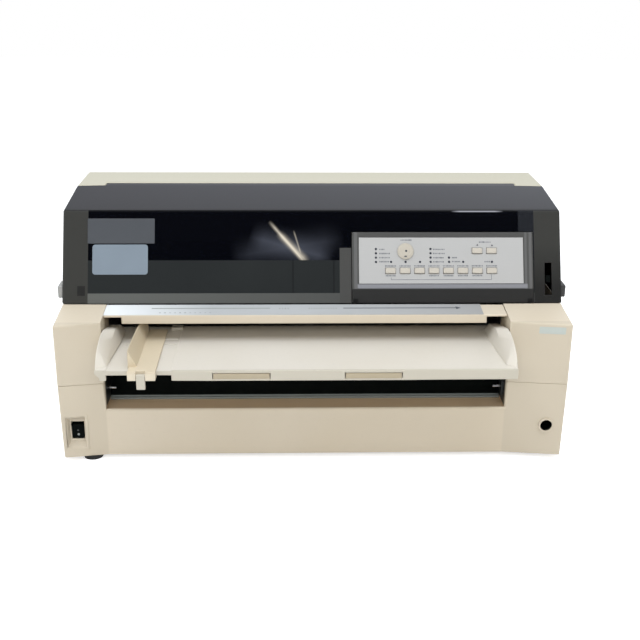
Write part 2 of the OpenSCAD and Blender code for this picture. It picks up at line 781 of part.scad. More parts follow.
module panel_housing() color(dark) place() {
    on_face() difference() {
        union() {
            difference() {
                block(panel_left, panel_left + panel_w,
                    panel_s, panel_s + panel_h, -panel_depth, bezel_proud);
                block(panel_left + housing_t, panel_left + panel_w - housing_t, panel_s + housing_t,
                    panel_s + panel_h - housing_t, -panel_depth - 1, -housing_t);
            }
            // posts that carry the indicator board
            for (x = [panel_left + 12, panel_left + panel_w - 8], s = [26, 76])
                translate([x, s, board_n]) cylinder(h = -board_n, r = 2.5);
        }
        block(overlay_left - 0.1, overlay_left + overlay_w + 0.1, overlay_s - 0.1,
            overlay_s + overlay_h + 0.1, overlay_n, 5);
        panel_openings();
    }
    // feet on the ledge of the front bar
    for (x = housing_foot_x) x_prism(x, x + housing_foot_w, [
        [cover_front_y + 3.5, bar_ledge_h + 3.2], [bar_ledge_y - 3, bar_ledge_h + 3.2],
        face_pt(panel_s + 1, 1 - panel_depth), face_pt(panel_s + 1, -3)]);
}

module panel_overlay() color(zinc) place() on_face() difference() {
    block(overlay_left, overlay_left + overlay_w, overlay_s, overlay_s + overlay_h, overlay_n, overlay_top_n);
    panel_openings();
}

module indicator_board() color(green) place() on_face() {
    difference() {
        block(panel_left + 5, panel_left + panel_w - 4, 21, 80, board_n - board_t, board_n);
        translate([dial_x, dial_s, -20]) cylinder(h = 30, r = dial_stem_r + run_fit);
    }
    // lamps on their stems, and a switch under each key
    each_lamp() translate([0, 0, board_n]) cylinder(h = overlay_top_n - board_n, r = lamp_r, $fn = 24);
    for (i = [0 : 7]) translate([key_place(i), key_row_s, board_n]) cylinder(h = 2, r = 2.4);
    for (i = [6, 7]) translate([key_place(i), key_upper_s, board_n]) cylinder(h = 2, r = 2.4);
}

module mode_dial() color(tan) place() on_face() translate([dial_x, dial_s, 0]) difference() {
    union() {
        translate([0, 0, overlay_top_n + slit]) cylinder(h = dial_proud, r = dial_r);
        translate([0, 0, -17]) cylinder(h = 17 + overlay_top_n + 1, r = dial_stem_r);
    }
    // pointer groove
    translate([0, 0, overlay_top_n + dial_proud - 0.4]) block(-0.6, 0.6, 2.5, dial_r + 1, 0, 2);
}

module key_cap(x, s) color(ivory_light) place() on_face() translate([x, s, 0]) {
    block(-key_w / 2, key_w / 2, -key_h / 2, key_h / 2, key_flange_n - 2, overlay_top_n + key_proud);
    block(-key_w / 2 - 1.5, key_w / 2 + 1.5, -key_h / 2 - 1.5, key_h / 2 + 1.5,
        key_flange_n - 2, key_flange_n);
    translate([0, 0, board_n + 2 + key_travel + 0.1])
        cylinder(h = key_flange_n - board_n - 3.4 - key_travel, r = 2);
}

// ---- front bar -----------------------------------------------------------------

function bar_top(y, drop) = [y, deck_h(y) - drop];

module front_bar() color(ivory_low) place() {
    x_prism(left_in + slit, right_in - slit, [
        bar_top(bar_y, bar_top_drop), bar_top(bar_web_y + 2.4, bar_top_drop),
        bar_top(bar_web_y + 2.4, bar_plate_t + bar_top_drop), bar_top(bar_y, bar_plate_t + bar_top_drop)]);
    // front lip, shorter than the bar at both ends
    x_prism(bar_lip_x[0], bar_lip_x[1], [
        bar_top(bar_y, bar_top_drop), bar_top(bar_y + 2.5, bar_top_drop),
        bar_top(bar_y + 2.5, bar_lip_h), bar_top(bar_y, bar_lip_h)]);
    // web and ledge behind it, which carry the operator panel
    block(bar_lip_x[0], bar_lip_x[1], bar_web_y, bar_web_y + 2.4,
        bar_ledge_h, deck_h(bar_web_y) - bar_top_drop - 1);
    block(bar_lip_x[0], bar_lip_x[1], bar_web_y, bar_ledge_y, bar_ledge_h, bar_ledge_h + 3);
}

module scale_strip() color(zinc) place() x_prism(left_in + slit, right_in - bar_plain_w, [
    bar_top(bar_y + 0.4, 0.1), bar_top(bar_web_y + 1.8, 0.1),
    bar_top(bar_web_y + 1.8, bar_top_drop - 0.05), bar_top(bar_y + 0.4, bar_top_drop - 0.05)]);

// ---- paper table -----------------------------------------------------------------

support_xs = [support_left_x, support_right_x];

module paper_table() color(ivory_light) place() difference() {
    union() {
        block(table_x0, table_x1, -table_reach, table_back_y, table_h - table_t, table_h);
        // plate under the lane
        block(lane_left - 2, lane_end_x + 2, -table_reach, table_back_y, table_h - table_t - 2, table_h - 1);
        // front lip, low along the lane
        y_prism(-table_reach, 3 - table_reach, [
            [table_x0, table_h], [table_x0, lip_low_h + lip_corner], [table_x0 + lip_corner, lip_low_h],
            [lane_left, lip_low_h], [lane_left, table_h]]);
        block(lane_end_x, table_x1, -table_reach, 3 - table_reach, lip_low_h, table_h);
        // end walls and runners
        for (x = [table_x0 + runner_inset, table_x1 - runner_inset - 3])
            block(x, x + 3, -table_reach, table_back_y, runner_h, table_h);
        block(table_x0, table_x0 + runner_inset + 1, 14, table_back_y, runner_h, runner_h + runner_t);
        block(table_x1 - runner_inset - 1, table_x1, 14, table_back_y, runner_h, runner_h + runner_t);
        // channels of the pull-out supports
        for (x = support_xs) {
            block(x - 3, x + support_w + 3, -table_reach, support_len - table_reach - 8,
                support_low_h - 2, table_h - 1);
        }
        // stop beside the lane
        block(lane_end_x - 12, lane_end_x + 1, guide_y1 + 2, table_back_y - 1, table_h - 3, table_h + 2);
    }
    block(lane_left, lane_end_x, -table_reach - 1, guide_y1 + 1.5, lane_floor_h, table_h + 1);
    block(lane_left, lane_end_x - 12.5, -table_reach, table_back_y + 1, lane_floor_h, table_h + 1);
    // grooves across the lane
    for (y = [24, 40]) block(lane_left + 10, lane_end_x - 2, y - 0.8, y + 0.8, lane_floor_h - 0.8, table_h);
    for (x = support_xs) block(x - support_gap, x + support_w + support_gap, -table_reach - 1,
        support_len - table_reach + 1, support_low_h, table_h - table_t);
}

// curve from a to c that leaves and arrives in the direction of b
function bow(a, b, c) = [for (k = [0 : 6]) let (t = k / 6)
    (1 - t) * (1 - t) * a + 2 * t * (1 - t) * b + t * t * c];

fin_back = [[guide_y1 - 2, table_h + 8], [guide_y1 - 2, table_h]];
fin_outer = concat(bow([4 - table_reach, table_h], [20 - table_reach, table_h + fin_h - 1.5],
    [62 - table_reach, table_h + fin_h]), fin_back);
fin_ridge = concat(bow([12 - table_reach, table_h], [46 - table_reach, table_h + 0.5 * fin_h],
    [79 - table_reach, table_h + 0.76 * fin_h]), fin_back);

// the fin at one end of the table: a high outer edge, a lower ridge and a slanting inner foot
module table_fin(end_x, side) hull() {
    fin_sheet(end_x, side, fin_outer);
    fin_sheet(end_x + side * (fin_w - 6), side, fin_ridge);
    translate([end_x, 0, table_h]) linear_extrude(0.4) polygon([
        [0, 12 - table_reach], [side * (fin_w - 5.5), 12 - table_reach],
        [side * fin_w, 82 - table_reach], [side * fin_w, guide_y1 - 2], [0, guide_y1 - 2]]);
}

module fin_sheet(x, side, points) {
    x_prism(min(x, x + side * 0.4), max(x, x + side * 0.4), points);
}

module left_table_guide() color(ivory_light) place() table_fin(table_x0, 1);
module right_table_guide() color(ivory_light) place() table_fin(table_x1, -1);

module sheet_support(x) color(tan) place() difference() {
    block(x, x + support_w, 0.4 - table_reach, 0.4 - table_reach + support_len,
        support_low_h + slit / 2, support_low_h + slit / 2 + support_t - slit);
    // finger groove under the front edge
    block(x + 12, x + support_w - 12,
        6 - table_reach, 14 - table_reach, support_low_h - 1, support_low_h + 2.5);
}

// ---- sheet guide ---------------------------------------------------------------

guide_x0 = fence_foot_x - 10;
guide_x1 = guide_x0 + guide_w;
hook_x0 = guide_x0 + 1.5;
lock_pin_r = 1.2;
lock_h = table_h - 3;
lock_y = hook_y - guide_t - 3;
fence_y = [guide_y0, guide_y0 + 22, guide_y1 - 6];
fence_steps = 6;

// plan of the fence's upright side: straight in front, then bowing in to the foot line
function fence_edge(k) = let (y = fence_y[1] + (fence_y[2] - fence_y[1]) * k / fence_steps)
    [fence_foot_x - guide_t - (fence_w - guide_t)
        * sqrt(max(0, 1 - pow((y - fence_y[1]) / (fence_y[2] - fence_y[1]), 2))), y];
fence_plan = concat([[fence_foot_x - fence_w, fence_y[0]]], [for (k = [0 : fence_steps]) fence_edge(k)]);

// one stretch of the fence, upright on the left and leaning on the right
module fence_stretch(a, b) hull() {
    translate([0, 0, guide_foot_h]) linear_extrude(guide_t) polygon([
        a, b, [fence_foot_x, b[1]], [fence_foot_x, a[1]]]);
    translate([0, 0, guide_foot_h]) linear_extrude(table_h + fence_h - guide_foot_h) polygon([
        a, b, b + [0.6, 0], a + [0.6, 0]]);
}

module sheet_guide() color(tan) place() difference() {
    union() {
        block(guide_x0, guide_x1, guide_y0, guide_y1, guide_foot_h, guide_foot_h + guide_t);
        for (k = [0 : len(fence_plan) - 2]) fence_stretch(fence_plan[k], fence_plan[k + 1]);
        // hook over the front edge of the lane
        block(hook_x0, guide_x1, hook_y - guide_t, guide_y0 + 1, guide_foot_h, guide_foot_h + guide_t);
        block(hook_x0, guide_x1, hook_y - guide_t, hook_y, hook_low_h, guide_foot_h + guide_t);
        block(hook_x0, guide_x1,
            hook_y - guide_t, 8 - table_reach, hook_low_h, table_h - table_t - 2 - slit);
        // cheeks on both sides of the lock lever
        for (x = [[hook_x0, lock_x - lock_gap], [lock_x + lock_w + lock_gap, guide_x1]])
            block(x[0], x[1], lock_y - 2.4, hook_y - 1, hook_low_h, guide_foot_h + guide_t);
    }
    x_rod(lock_x - 3, lock_x + lock_w + 3, lock_y, lock_h, lock_pin_r + run_fit);
}

module guide_lock() color(ivory_light) place() {
    difference() {
        block(lock_x, lock_x + lock_w, -table_reach - lock_reach, lock_y + 2, table_h - lock_len, lock_h + 1);
        // hollowed back
        block(lock_x + 1.5, lock_x + lock_w - 1.5,
            lock_y - 0.4, lock_y + 3, table_h - lock_len + 1.5, lock_h - 3.5);
    }
    x_rod(lock_x - 1.9, lock_x + lock_w + 1.9, lock_y, lock_h, lock_pin_r);
}

// ---- lower paper slot ---------------------------------------------------------

module front_guide_plate() color(black) place() {
    x_prism(left_in + slit, right_in - slit, [
        [tray_back_y - 3, tray_h], [tray_back_y - 0.8, tray_h],
        [tray_back_y + 11, runner_h - 4.5], [tray_back_y + 8.8, runner_h - 4.5]]);
    block(left_in + slit, right_in - slit, tray_back_y - 7, tray_back_y - 1, tray_h, tray_h + 2.2);
}

module tractor_studs() color(steel) place() {
    x_rod(left_in - wall - 4, left_in + 9.5, stud_y, stud_h, stud_r);
    x_rod(left_in - wall - 2, left_in - wall, stud_y, stud_h, stud_r + 3);
    x_rod(right_in - 11, right_in + wall + 4, stud_y, stud_h, stud_r);
    x_rod(right_in + wall, right_in + wall + 2, stud_y, stud_h, stud_r + 3);
}

// ---- frames and shafts -----------------------------------------------------------

frame_outline = [
    [frame_y0, floor_h], [frame_y0, table_h - 16], [feed_y - 19, table_h + 20],
    [feed_y - 9, frame_top_h], [rail_y + 39, frame_top_h], [frame_y1, tractor_h + 22],
    [frame_y1, floor_h]];

module frame_bores(x) {
    x_rod(x - 5, x + 8, platen_y, platen_h, shaft_r + run_fit);
    x_rod(x - 5, x + 8, feed_y, feed_h, shaft_r + run_fit);
    x_rod(x - 5, x + 8, rod_y, rod_z, rod_r + 0.03);
    x_rod(x - 5, x + 8, tractor_y, tractor_h, shaft_r + 0.03);
    x_rod(x - 5, x + 8, drive_y, tractor_h, journal_r + run_fit);
    // lightening hole
    x_rod(x - 5, x + 8, rail_y + 40, table_h - 50, 22);
}

module left_side_frame() color(zinc) place() difference() {
    union() {
        x_prism(frame_left_x, frame_left_x + frame_t, frame_outline);
        block(frame_left_x - 12, frame_left_x + 1, frame_y0 + 6, frame_y1 - 4, floor_h, floor_h + frame_t);
    }
    frame_bores(frame_left_x);
}

post_places = [[15.6, -15.6], [-15.6, -15.6], [15.6, 15.6]];

module right_side_frame() color(zinc) place() {
    difference() {
        union() {
            x_prism(frame_right_x, frame_right_x + frame_t, frame_outline);
            block(frame_right_x + 1, frame_right_x + 14,
                frame_y0 + 6, frame_y1 - 4, floor_h, floor_h + frame_t);
        }
        frame_bores(frame_right_x);
    }
    // posts of the line feed motor, and the pin of the thickness lever
    for (p = post_places) x_rod(frame_right_x + 1, motor_x, pinion_y + p[0], pinion_h + p[1], post_r);
    x_rod(frame_right_x + 1, lever_slot_x + 7.5, lever_y, lever_h, lever_pin_r);
}

module carriage_shaft() color(steel) place()
    x_rod(frame_left_x - 3, frame_right_x + frame_t + 1, rod_y, rod_z, rod_r);

module carriage_rail() color(zinc) place() difference() {
    union() {
        block(frame_left_x + frame_t, frame_right_x, rail_y, rail_y + rail_t, rail_low_h, frame_top_h);
        block(frame_left_x + frame_t, frame_right_x,
            rail_y - 13, rail_y + 1, rail_low_h, rail_low_h + rail_t);
        y_rod(belt_y - 1, rail_y + 1, pulley_right_x, pulley_h, idler_pin_r);
    }
    y_rod(rail_y - 1, rail_y + 5, pulley_left_x, pulley_h, motor_boss_r + 0.2);
}

module paper_pan() color(zinc) place()
    for (y = [[table_back_y + 2, platen_y - 8.6], [platen_y + 8.6, rail_y + 38]])
        block(frame_left_x + frame_t, frame_right_x, y[0], y[1], table_h - 2.5, table_h - 1);

// ---- carriage and its drive -------------------------------------------------------

module carriage() color(dark) place() translate([carriage_mid_x, 0, 0]) difference() {
    union() {
        block(-carriage_half, carriage_half, rod_y - 12, rail_y - 15, carriage_low_h, carriage_top_h);
        x_rod(-carriage_half, carriage_half, rod_y, rod_z, carriage_top_h - rod_z);
        // jaws round the lower run of the belt, and a shoe on the rail
        block(-jaw_half, jaw_half, rail_y - 16, rail_y - 10.4, rail_low_h + rail_t + slit, pulley_h - 4);
        block(-jaw_half, jaw_half,
            rail_y - 12, belt_y + belt_w + 1, pulley_h - belt_in_r + slit, pulley_h - 4);
        block(-jaw_half, jaw_half,
            rail_y - 12, belt_y + belt_w + 1, pulley_h - belt_out_r - 4, pulley_h - belt_out_r - slit);
    }
    x_rod(-carriage_half - 8, carriage_half + 8, rod_y, rod_z, rod_r + run_fit);
    block(-head_well, head_well, head_y - head_well - 0.5, head_y + head_well + 0.5,
        carriage_low_h - 1, carriage_top_h + 1);
}

module print_head() color(dark) place() translate([carriage_mid_x, head_y, 0]) {
    // nose over the platen
    translate([-nose_w / 2, -nose_deep / 2, table_h + 1.6]) cube([nose_w, nose_deep, nose_h]);
    difference() {
        translate([-head_w / 2, -head_w / 2, head_low_h]) cube([head_w, head_w, head_h]);
        // cooling fins
        for (i = [0 : head_fins - 1])
            translate([-head_w / 2 - 1, 2 - head_w / 2 + i * head_fin_pitch,
                    head_low_h + head_h - head_fin_h])
                cube([head_w + 2, head_fin_gap, head_fin_h + 1]);
    }
    difference() {
        translate([-flange_size[0] / 2, -flange_size[1] / 2, carriage_top_h])
            cube([flange_size[0], flange_size[1], flange_t]);
        translate([1 - head_w / 2, 1 - head_w / 2, carriage_top_h - 1])
            cube([head_w - 2, head_w - 2, flange_t + 2]);
    }
}

module ribbon_cartridge() color(black) place() difference() {
    block(carriage_mid_x - cartridge_half, carriage_mid_x + cartridge_half, cartridge_y[0], cartridge_y[1],
        carriage_top_h + slit, carriage_top_h + slit + cartridge_h);
    block(carriage_mid_x - 25, carriage_mid_x + 25,
        head_y - 23, head_y + 23, carriage_top_h - 1, frame_top_h + 20);
    // raised rim round the lid
    block(carriage_mid_x - cartridge_half + 4, carriage_mid_x - 29, cartridge_y[0] + 4, cartridge_y[1] - 4,
        carriage_top_h + cartridge_h - 0.6, frame_top_h + 20);
    translate([knob_x, knob_y, carriage_top_h + 3]) cylinder(h = 30, r = knob_stem_r + run_fit);
}

module ribbon_knob() color(ivory_light) place()
    translate([knob_x, knob_y, carriage_top_h + cartridge_h + 2 * slit]) {
        difference() {
            cylinder(h = 7, r = 8);
            for (a = [0 : 30 : 330]) rotate([0, 0, a])
                translate([8.6, 0, -1]) cylinder(h = 9, r = 1.3, $fn = 24);
        }
        translate([0, 0, -10]) cylinder(h = 11, r = knob_stem_r);
    }

module belt_loop(r) {
    for (x = [pulley_left_x, pulley_right_x]) translate([x, pulley_h]) circle(r = r);
    translate([pulley_left_x, pulley_h - r]) square([pulley_right_x - pulley_left_x, 2 * r]);
}

module drive_belt() color(black) place() translate([0, belt_y + belt_w, 0]) rotate([90, 0, 0])
    linear_extrude(belt_w) difference() {
        belt_loop(belt_out_r);
        belt_loop(belt_in_r);
    }

module belt_pulley(x, bore_r) {
    difference() {
        union() {
            y_rod(belt_y, belt_y + belt_w, x, pulley_h, pulley_r);
            y_rod(belt_y + belt_w + 0.3, belt_y + belt_w + 1.3, x, pulley_h, flange_r);
            y_rod(belt_y + belt_w - 1, belt_y + belt_w + 1, x, pulley_h, pulley_r - 1);
        }
        y_rod(belt_y - 5, rail_y, x, pulley_h, bore_r + run_fit);
        // grip holes, so that a turn shows
        for (a = [0 : 90 : 270]) translate([x, 0, pulley_h]) rotate([0, a, 0])
            y_rod(belt_y - 5, rail_y, grip_hole_at, 0, grip_hole_r);
    }
}

module drive_pulley() color(steel) place() belt_pulley(pulley_left_x, motor_shaft_r);
module idler_pulley() color(ivory_light) place() belt_pulley(pulley_right_x, idler_pin_r);

module carriage_motor() color(black) place() {
    block(pulley_left_x - motor_w / 2, pulley_left_x + motor_w / 2, rail_y + rail_t,
        rail_y + rail_t + carriage_motor_len, pulley_h - motor_w / 2, pulley_h + motor_w / 2);
    y_rod(rail_y - 0.4, rail_y + rail_t + 1, pulley_left_x, pulley_h, motor_boss_r);
    y_rod(belt_y - 1, rail_y, pulley_left_x, pulley_h, motor_shaft_r);
}

// ---- paper feed ----------------------------------------------------------------------

module platen() color(black) place() {
    x_rod(left_in + 11, right_in - 6.6, platen_y, platen_h, platen_r);
    x_rod(frame_left_x - 3, gear_x + gear_w + 1, platen_y, platen_h, shaft_r);
}

module platen_gear() color(ivory_light) place()
    x_gear(gear_x, platen_y, platen_h, platen_teeth, shaft_r + 0.03, feed_angle);

// the gap of the feed gear meets the platen gear's tooth on the line of centres
feed_gear_turn = feed_angle + 180 + 180 / feed_teeth;
// the tooth nearest the pinion decides how the pinion is turned
tooth_pitch = 360 / platen_teeth;
near_tooth = feed_angle + round((pinion_angle - feed_angle) / tooth_pitch) * tooth_pitch;
pinion_turn = pinion_angle + 180 + 180 / pinion_teeth
    - (near_tooth - pinion_angle) * platen_teeth / pinion_teeth;

module motor_pinion() color(steel) place()
    x_gear(gear_x, pinion_y, pinion_h, pinion_teeth, motor_shaft_r + run_fit, pinion_turn);

feed_inset = 18;
feed_roller_w = 12;
feed_first_x = left_in + feed_inset;
feed_pitch = (right_in - left_in - 2 * feed_inset - feed_roller_w) / (feed_n - 1);

module feed_roller_shaft() color(dark) place() {
    for (i = [0 : feed_n - 1])
        translate([feed_first_x + i * feed_pitch, 0, 0]) x_rod(0, feed_roller_w, feed_y, feed_h, feed_r);
    x_rod(frame_left_x - 3, gear_x + gear_w + 1, feed_y, feed_h, shaft_r);
    x_gear(gear_x, feed_y, feed_h, feed_teeth, shaft_r - 0.5, feed_gear_turn);
}

module line_feed_motor() color(black) place() {
    block(motor_x, motor_x + feed_motor_len, pinion_y - motor_w / 2, pinion_y + motor_w / 2,
        pinion_h - motor_w / 2, pinion_h + motor_w / 2);
    x_rod(motor_x - 2, motor_x + 1, pinion_y, pinion_h, motor_boss_r);
    x_rod(gear_x - 1, motor_x, pinion_y, pinion_h, motor_shaft_r);
}

// the lever's tip stands in the slot, in line with its pivot
lever_tip = face_pt((lever_slot_s[0] + lever_slot_s[1]) / 2, -1.2);
lever_dir = atan2(lever_tip[1] - lever_h, lever_tip[0] - lever_y);
lever_len = norm([lever_tip[0] - lever_y, lever_tip[1] - lever_h]);

module thickness_lever() color(black) place()
    translate([lever_slot_x + (lever_slot_w - lever_t) / 2, lever_y, lever_h])
        rotate([90, 0, 90]) linear_extrude(lever_t) difference() {
            union() {
                circle(r = lever_hub_r);
                rotate(lever_dir) translate([0, -lever_w / 2]) square([lever_len, lever_w]);
            }
            circle(r = lever_pin_r + run_fit);
        }

module tractor(x) color(black) place() difference() {
    union() {
        for (y = [tractor_y, drive_y]) x_rod(x, x + tractor_w, y, tractor_h, tractor_r);
        block(x, x + tractor_w, tractor_y, drive_y, tractor_h - tractor_r, tractor_h + tractor_r);
        // closed flap over the pins
        block(x - 1.5, x + tractor_w - 4,
            tractor_y - 9, drive_y + 9, tractor_h + tractor_r - 1, tractor_h + tractor_r + 2);
    }
    x_rod(x - 5, x + tractor_w + 5, tractor_y, tractor_h, shaft_r + run_fit);
    x_rod(x - 5, x + tractor_w + 5, drive_y, tractor_h, square_w * sqrt(2) / 2 + 0.4);
}

module tractor_support_shaft() color(steel) place()
    x_rod(frame_left_x - 2, frame_right_x + frame_t + 2, tractor_y, tractor_h, shaft_r);

module tractor_drive_shaft() color(steel) place() {
    block(frame_left_x + frame_t + 1, frame_right_x - 1, drive_y - square_w / 2, drive_y + square_w / 2,
        tractor_h - square_w / 2, tractor_h + square_w / 2);
    x_rod(frame_left_x - 3, frame_left_x + frame_t + 2, drive_y, tractor_h, journal_r);
    x_rod(frame_right_x - 2, frame_right_x + frame_t + 3, drive_y, tractor_h, journal_r);
}

// ---- electronics and power -------------------------------------------------------------

// seats a part on the board, sunk a little into it
module on_board(x, y) {
    translate([board_x[0] + x, board_y[0] + y, board_h + board_plate_t - 0.5]) children();
}

module main_board() color(green) place() {
    block(board_x[0], board_x[1], board_y[0], board_y[1], board_h, board_h + board_plate_t);
    // heat sink of the head's drivers
    on_board(sink_at[0], sink_at[1]) {
        cube([sink_size[0], sink_size[1], chip_h + 0.5]);
        for (i = [0 : floor((sink_size[1] - sink_fin_t) / sink_fin_pitch)])
            translate([0, i * sink_fin_pitch, 0]) cube([sink_size[0], sink_fin_t, sink_h + 0.5]);
    }
    for (x = chip_xs) on_board(x, chip_y) cube([chip_w, chip_w, chip_h + 0.5]);
    for (x = can_xs) on_board(x, can_y) cylinder(h = can_h, r = can_r);
    for (x = plug_xs) on_board(x, plug_y) cube([plug_size[0], plug_size[1], plug_size[2] + 0.5]);
    // socket for the data cable, in the back wall
    block(socket_x - socket_w / 2, socket_x + socket_w / 2, board_y[1] - socket_deep, body_d - 0.6,
        socket_h[0], socket_h[1]);
}

// sheet metal box with slots in its lid
module power_supply() color(zinc) place() difference() {
    block(supply_x[0], supply_x[1], supply_y[0], supply_y[1], floor_h, floor_h + supply_h);
    block(supply_x[0] + supply_plate_t, supply_x[1] - supply_plate_t, supply_y[0] + supply_plate_t,
        supply_y[1] - supply_plate_t, floor_h + supply_plate_t, floor_h + supply_h - supply_plate_t);
    for (i = [0 : supply_slots - 1]) translate([supply_x[0] + 8 + i * supply_slot_pitch, 0, 0])
        block(0, supply_slot_w,
            supply_y[0] + 9, supply_y[1] - 9, floor_h + supply_h - 5, floor_h + supply_h + 5);
}

module power_rocker() color(black) place()
    translate([0, rocker_pin_y, rocker_mid_h]) rotate([rocker_tilt, 0, 0]) {
        x_prism(rocker_x - rocker_w / 2, rocker_x + rocker_w / 2, [
            [-10.8, rocker_h / 2], [-9.4, 0], [-10.8, -rocker_h / 2],
            [2, 2 - rocker_h / 2], [3, 0], [2, rocker_h / 2 - 2]]);
        x_rod(rocker_x - rocker_w / 2 - 2.6, rocker_x + rocker_w / 2 + 2.6, 0, 0, rocker_pin_r);
    }

module power_inlet() color(black) place() {
    translate([inlet_x, 0, inlet_mid_h]) {
        difference() {
            union() {
                block(-inlet_w / 2, inlet_w / 2, body_d - 24, body_d - 0.4, -inlet_h / 2, inlet_h / 2);
                block(-inlet_w / 2 - 8, inlet_w / 2 + 8,
                    body_d - wall - 3, body_d - wall, -inlet_h / 2 - 4, inlet_h / 2 + 4);
            }
            block(3 - inlet_w / 2, inlet_w / 2 - 3, body_d - 17, body_d + 1,
                3 - inlet_h / 2, inlet_h / 2 - 3);
        }
        for (p = plug_pins)
            block(p[0] - 1, p[0] + 1, body_d - 18, body_d - 5, p[1] - 2, p[1] + 2);
    }
}

// ---- one line for each part ------------------------------------------------------------

lower_case();
upper_case();
rear_flap();
front_cover();
cover_hinge_pins();
cover_lift_tabs();
panel_housing();
panel_overlay();
indicator_board();
mode_dial();
key_cap(key_place(0), key_row_s);  // key_1
key_cap(key_place(1), key_row_s);  // key_2
key_cap(key_place(2), key_row_s);  // key_3
key_cap(key_place(3), key_row_s);  // key_4
key_cap(key_place(4), key_row_s);  // key_5
key_cap(key_place(5), key_row_s);  // key_6
key_cap(key_place(6), key_row_s);  // key_7
key_cap(key_place(7), key_row_s);  // key_8
key_cap(key_place(6), key_upper_s);  // key_up
key_cap(key_place(7), key_upper_s);  // key_down
front_bar();
scale_strip();
paper_table();
left_table_guide();
right_table_guide();
sheet_guide();
guide_lock();
sheet_support(support_left_x);  // sheet_support_left
sheet_support(support_right_x);  // sheet_support_right
front_guide_plate();
tractor_studs();
feed_roller_shaft();
left_side_frame();
right_side_frame();
carriage_shaft();
carriage_rail();
carriage();
print_head();
ribbon_cartridge();
ribbon_knob();
drive_belt();
drive_pulley();
idler_pulley();
carriage_motor();
platen();
platen_gear();
motor_pinion();
line_feed_motor();
thickness_lever();
tractor(tractor_left_x);  // tractor_left
tractor(tractor_right_x);  // tractor_right
tractor_support_shaft();
tractor_drive_shaft();
paper_pan();
main_board();
power_supply();
power_rocker();
power_inlet();
rubber_feet();
case_screws();
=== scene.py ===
# %% [markdown]
# # A wide dot matrix printer
# The printer stands on a plain white floor. Its measured parts come from a CAD model,
# and this lesson dresses them: it rounds the edges that a mould would round, gives every
# part a finish that is worked out by nodes, and adds the small printed and moulded detail.

# %% Load the measured parts
import json
import math

import bmesh
import bpy
from mathutils import Matrix, Vector
from mathutils.geometry import delaunay_2d_cdt


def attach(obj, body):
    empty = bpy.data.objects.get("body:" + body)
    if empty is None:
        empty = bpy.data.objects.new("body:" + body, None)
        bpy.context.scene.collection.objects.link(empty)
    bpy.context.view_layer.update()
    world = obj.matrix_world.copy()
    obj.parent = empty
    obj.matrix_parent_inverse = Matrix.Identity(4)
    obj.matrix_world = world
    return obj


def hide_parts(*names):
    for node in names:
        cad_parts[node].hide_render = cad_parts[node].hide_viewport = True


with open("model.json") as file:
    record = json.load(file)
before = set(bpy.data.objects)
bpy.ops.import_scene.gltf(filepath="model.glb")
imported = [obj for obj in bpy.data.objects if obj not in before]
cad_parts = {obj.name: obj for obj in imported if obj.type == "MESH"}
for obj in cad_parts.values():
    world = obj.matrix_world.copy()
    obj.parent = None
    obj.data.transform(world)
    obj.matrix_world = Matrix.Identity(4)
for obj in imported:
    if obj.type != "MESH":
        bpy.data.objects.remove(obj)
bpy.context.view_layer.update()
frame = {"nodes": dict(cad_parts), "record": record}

MM = 0.001
SLOT_OF = {part["node"]: part["material_slot"] for part in frame["record"]["subparts"]}
BODY_OF = {node: body
           for body, nodes in frame["record"]["behaviour"]["bodies"].items() for node in nodes}

# %% [markdown]
# ## Where things are
# All sizes below are in millimetres, because a printer is drawn in millimetres. Small
# functions turn them into Blender's metres. `spot` counts from the foremost line of the
# casing and from the desk. `on_face` follows the tilted face of the cover: across, up the
# face, and out of it. The operator panel and the labels are laid out on that face.
# `on_strip` does the same for the sloping top of the front bar.

# %% Places
FRONT_LINE = -129.0
FACE_Y, FACE_Z, FACE_TILT, FACE_TOP = 56.5, 171.5, math.radians(65.49), 108.47
STRIP_Z, STRIP_RISE = 165.92, 0.09735


def spot(x, y, z):
    return Vector((x, y + FRONT_LINE, z)) * MM


def on_face(x, s, n):
    """x across, s up the cover's face from its lower edge, n out of it."""
    return spot(
        x,
        FACE_Y + s * math.cos(FACE_TILT) - n * math.sin(FACE_TILT),
        FACE_Z + s * math.sin(FACE_TILT) + n * math.cos(FACE_TILT),
    )


def along_face(x, s, n):
    """The way from one place on the face to another."""
    return on_face(x, s, n) - on_face(0, 0, 0)


def on_strip(x, y, n):
    """x across and y back on the top of the front bar, n above it."""
    return spot(x, y, STRIP_Z + y * STRIP_RISE + n)


def along_strip(x, y, n):
    return on_strip(x, y, n) - on_strip(0, 0, 0)


print("top of the cover's face:", tuple(round(v, 4) for v in on_face(0, FACE_TOP, 0)))

# %% [markdown]
# ## The camera
# The photograph was taken from in front and a little above, with a normal lens. The place
# and the angles were worked out from the straight edges of the casing, so the three angles
# are given as numbers: how far the camera looks down, to the right, and how far it leans.

# %% Camera
CAMERA_AT = Vector((-0.0288, -1.19848, 0.56872))
LOOK_DOWN, LOOK_RIGHT, LEAN = (math.radians(a) for a in (20.3124, 1.8475, 0.4776))
SENSOR = 36.0
FOCAL_PIXELS, PICTURE_PIXELS = 1040.076, 640


def camera_axes():
    """Right, up and forward of the camera, each a unit vector."""
    forward = Vector((math.sin(LOOK_RIGHT) * math.cos(LOOK_DOWN),
                      math.cos(LOOK_RIGHT) * math.cos(LOOK_DOWN), -math.sin(LOOK_DOWN)))
    level = Vector((math.cos(LOOK_RIGHT), -math.sin(LOOK_RIGHT), 0.0))
    rise = level.cross(forward)
    right = level * math.cos(LEAN) + rise * math.sin(LEAN)
    up = rise * math.cos(LEAN) - level * math.sin(LEAN)
    return right, up, forward


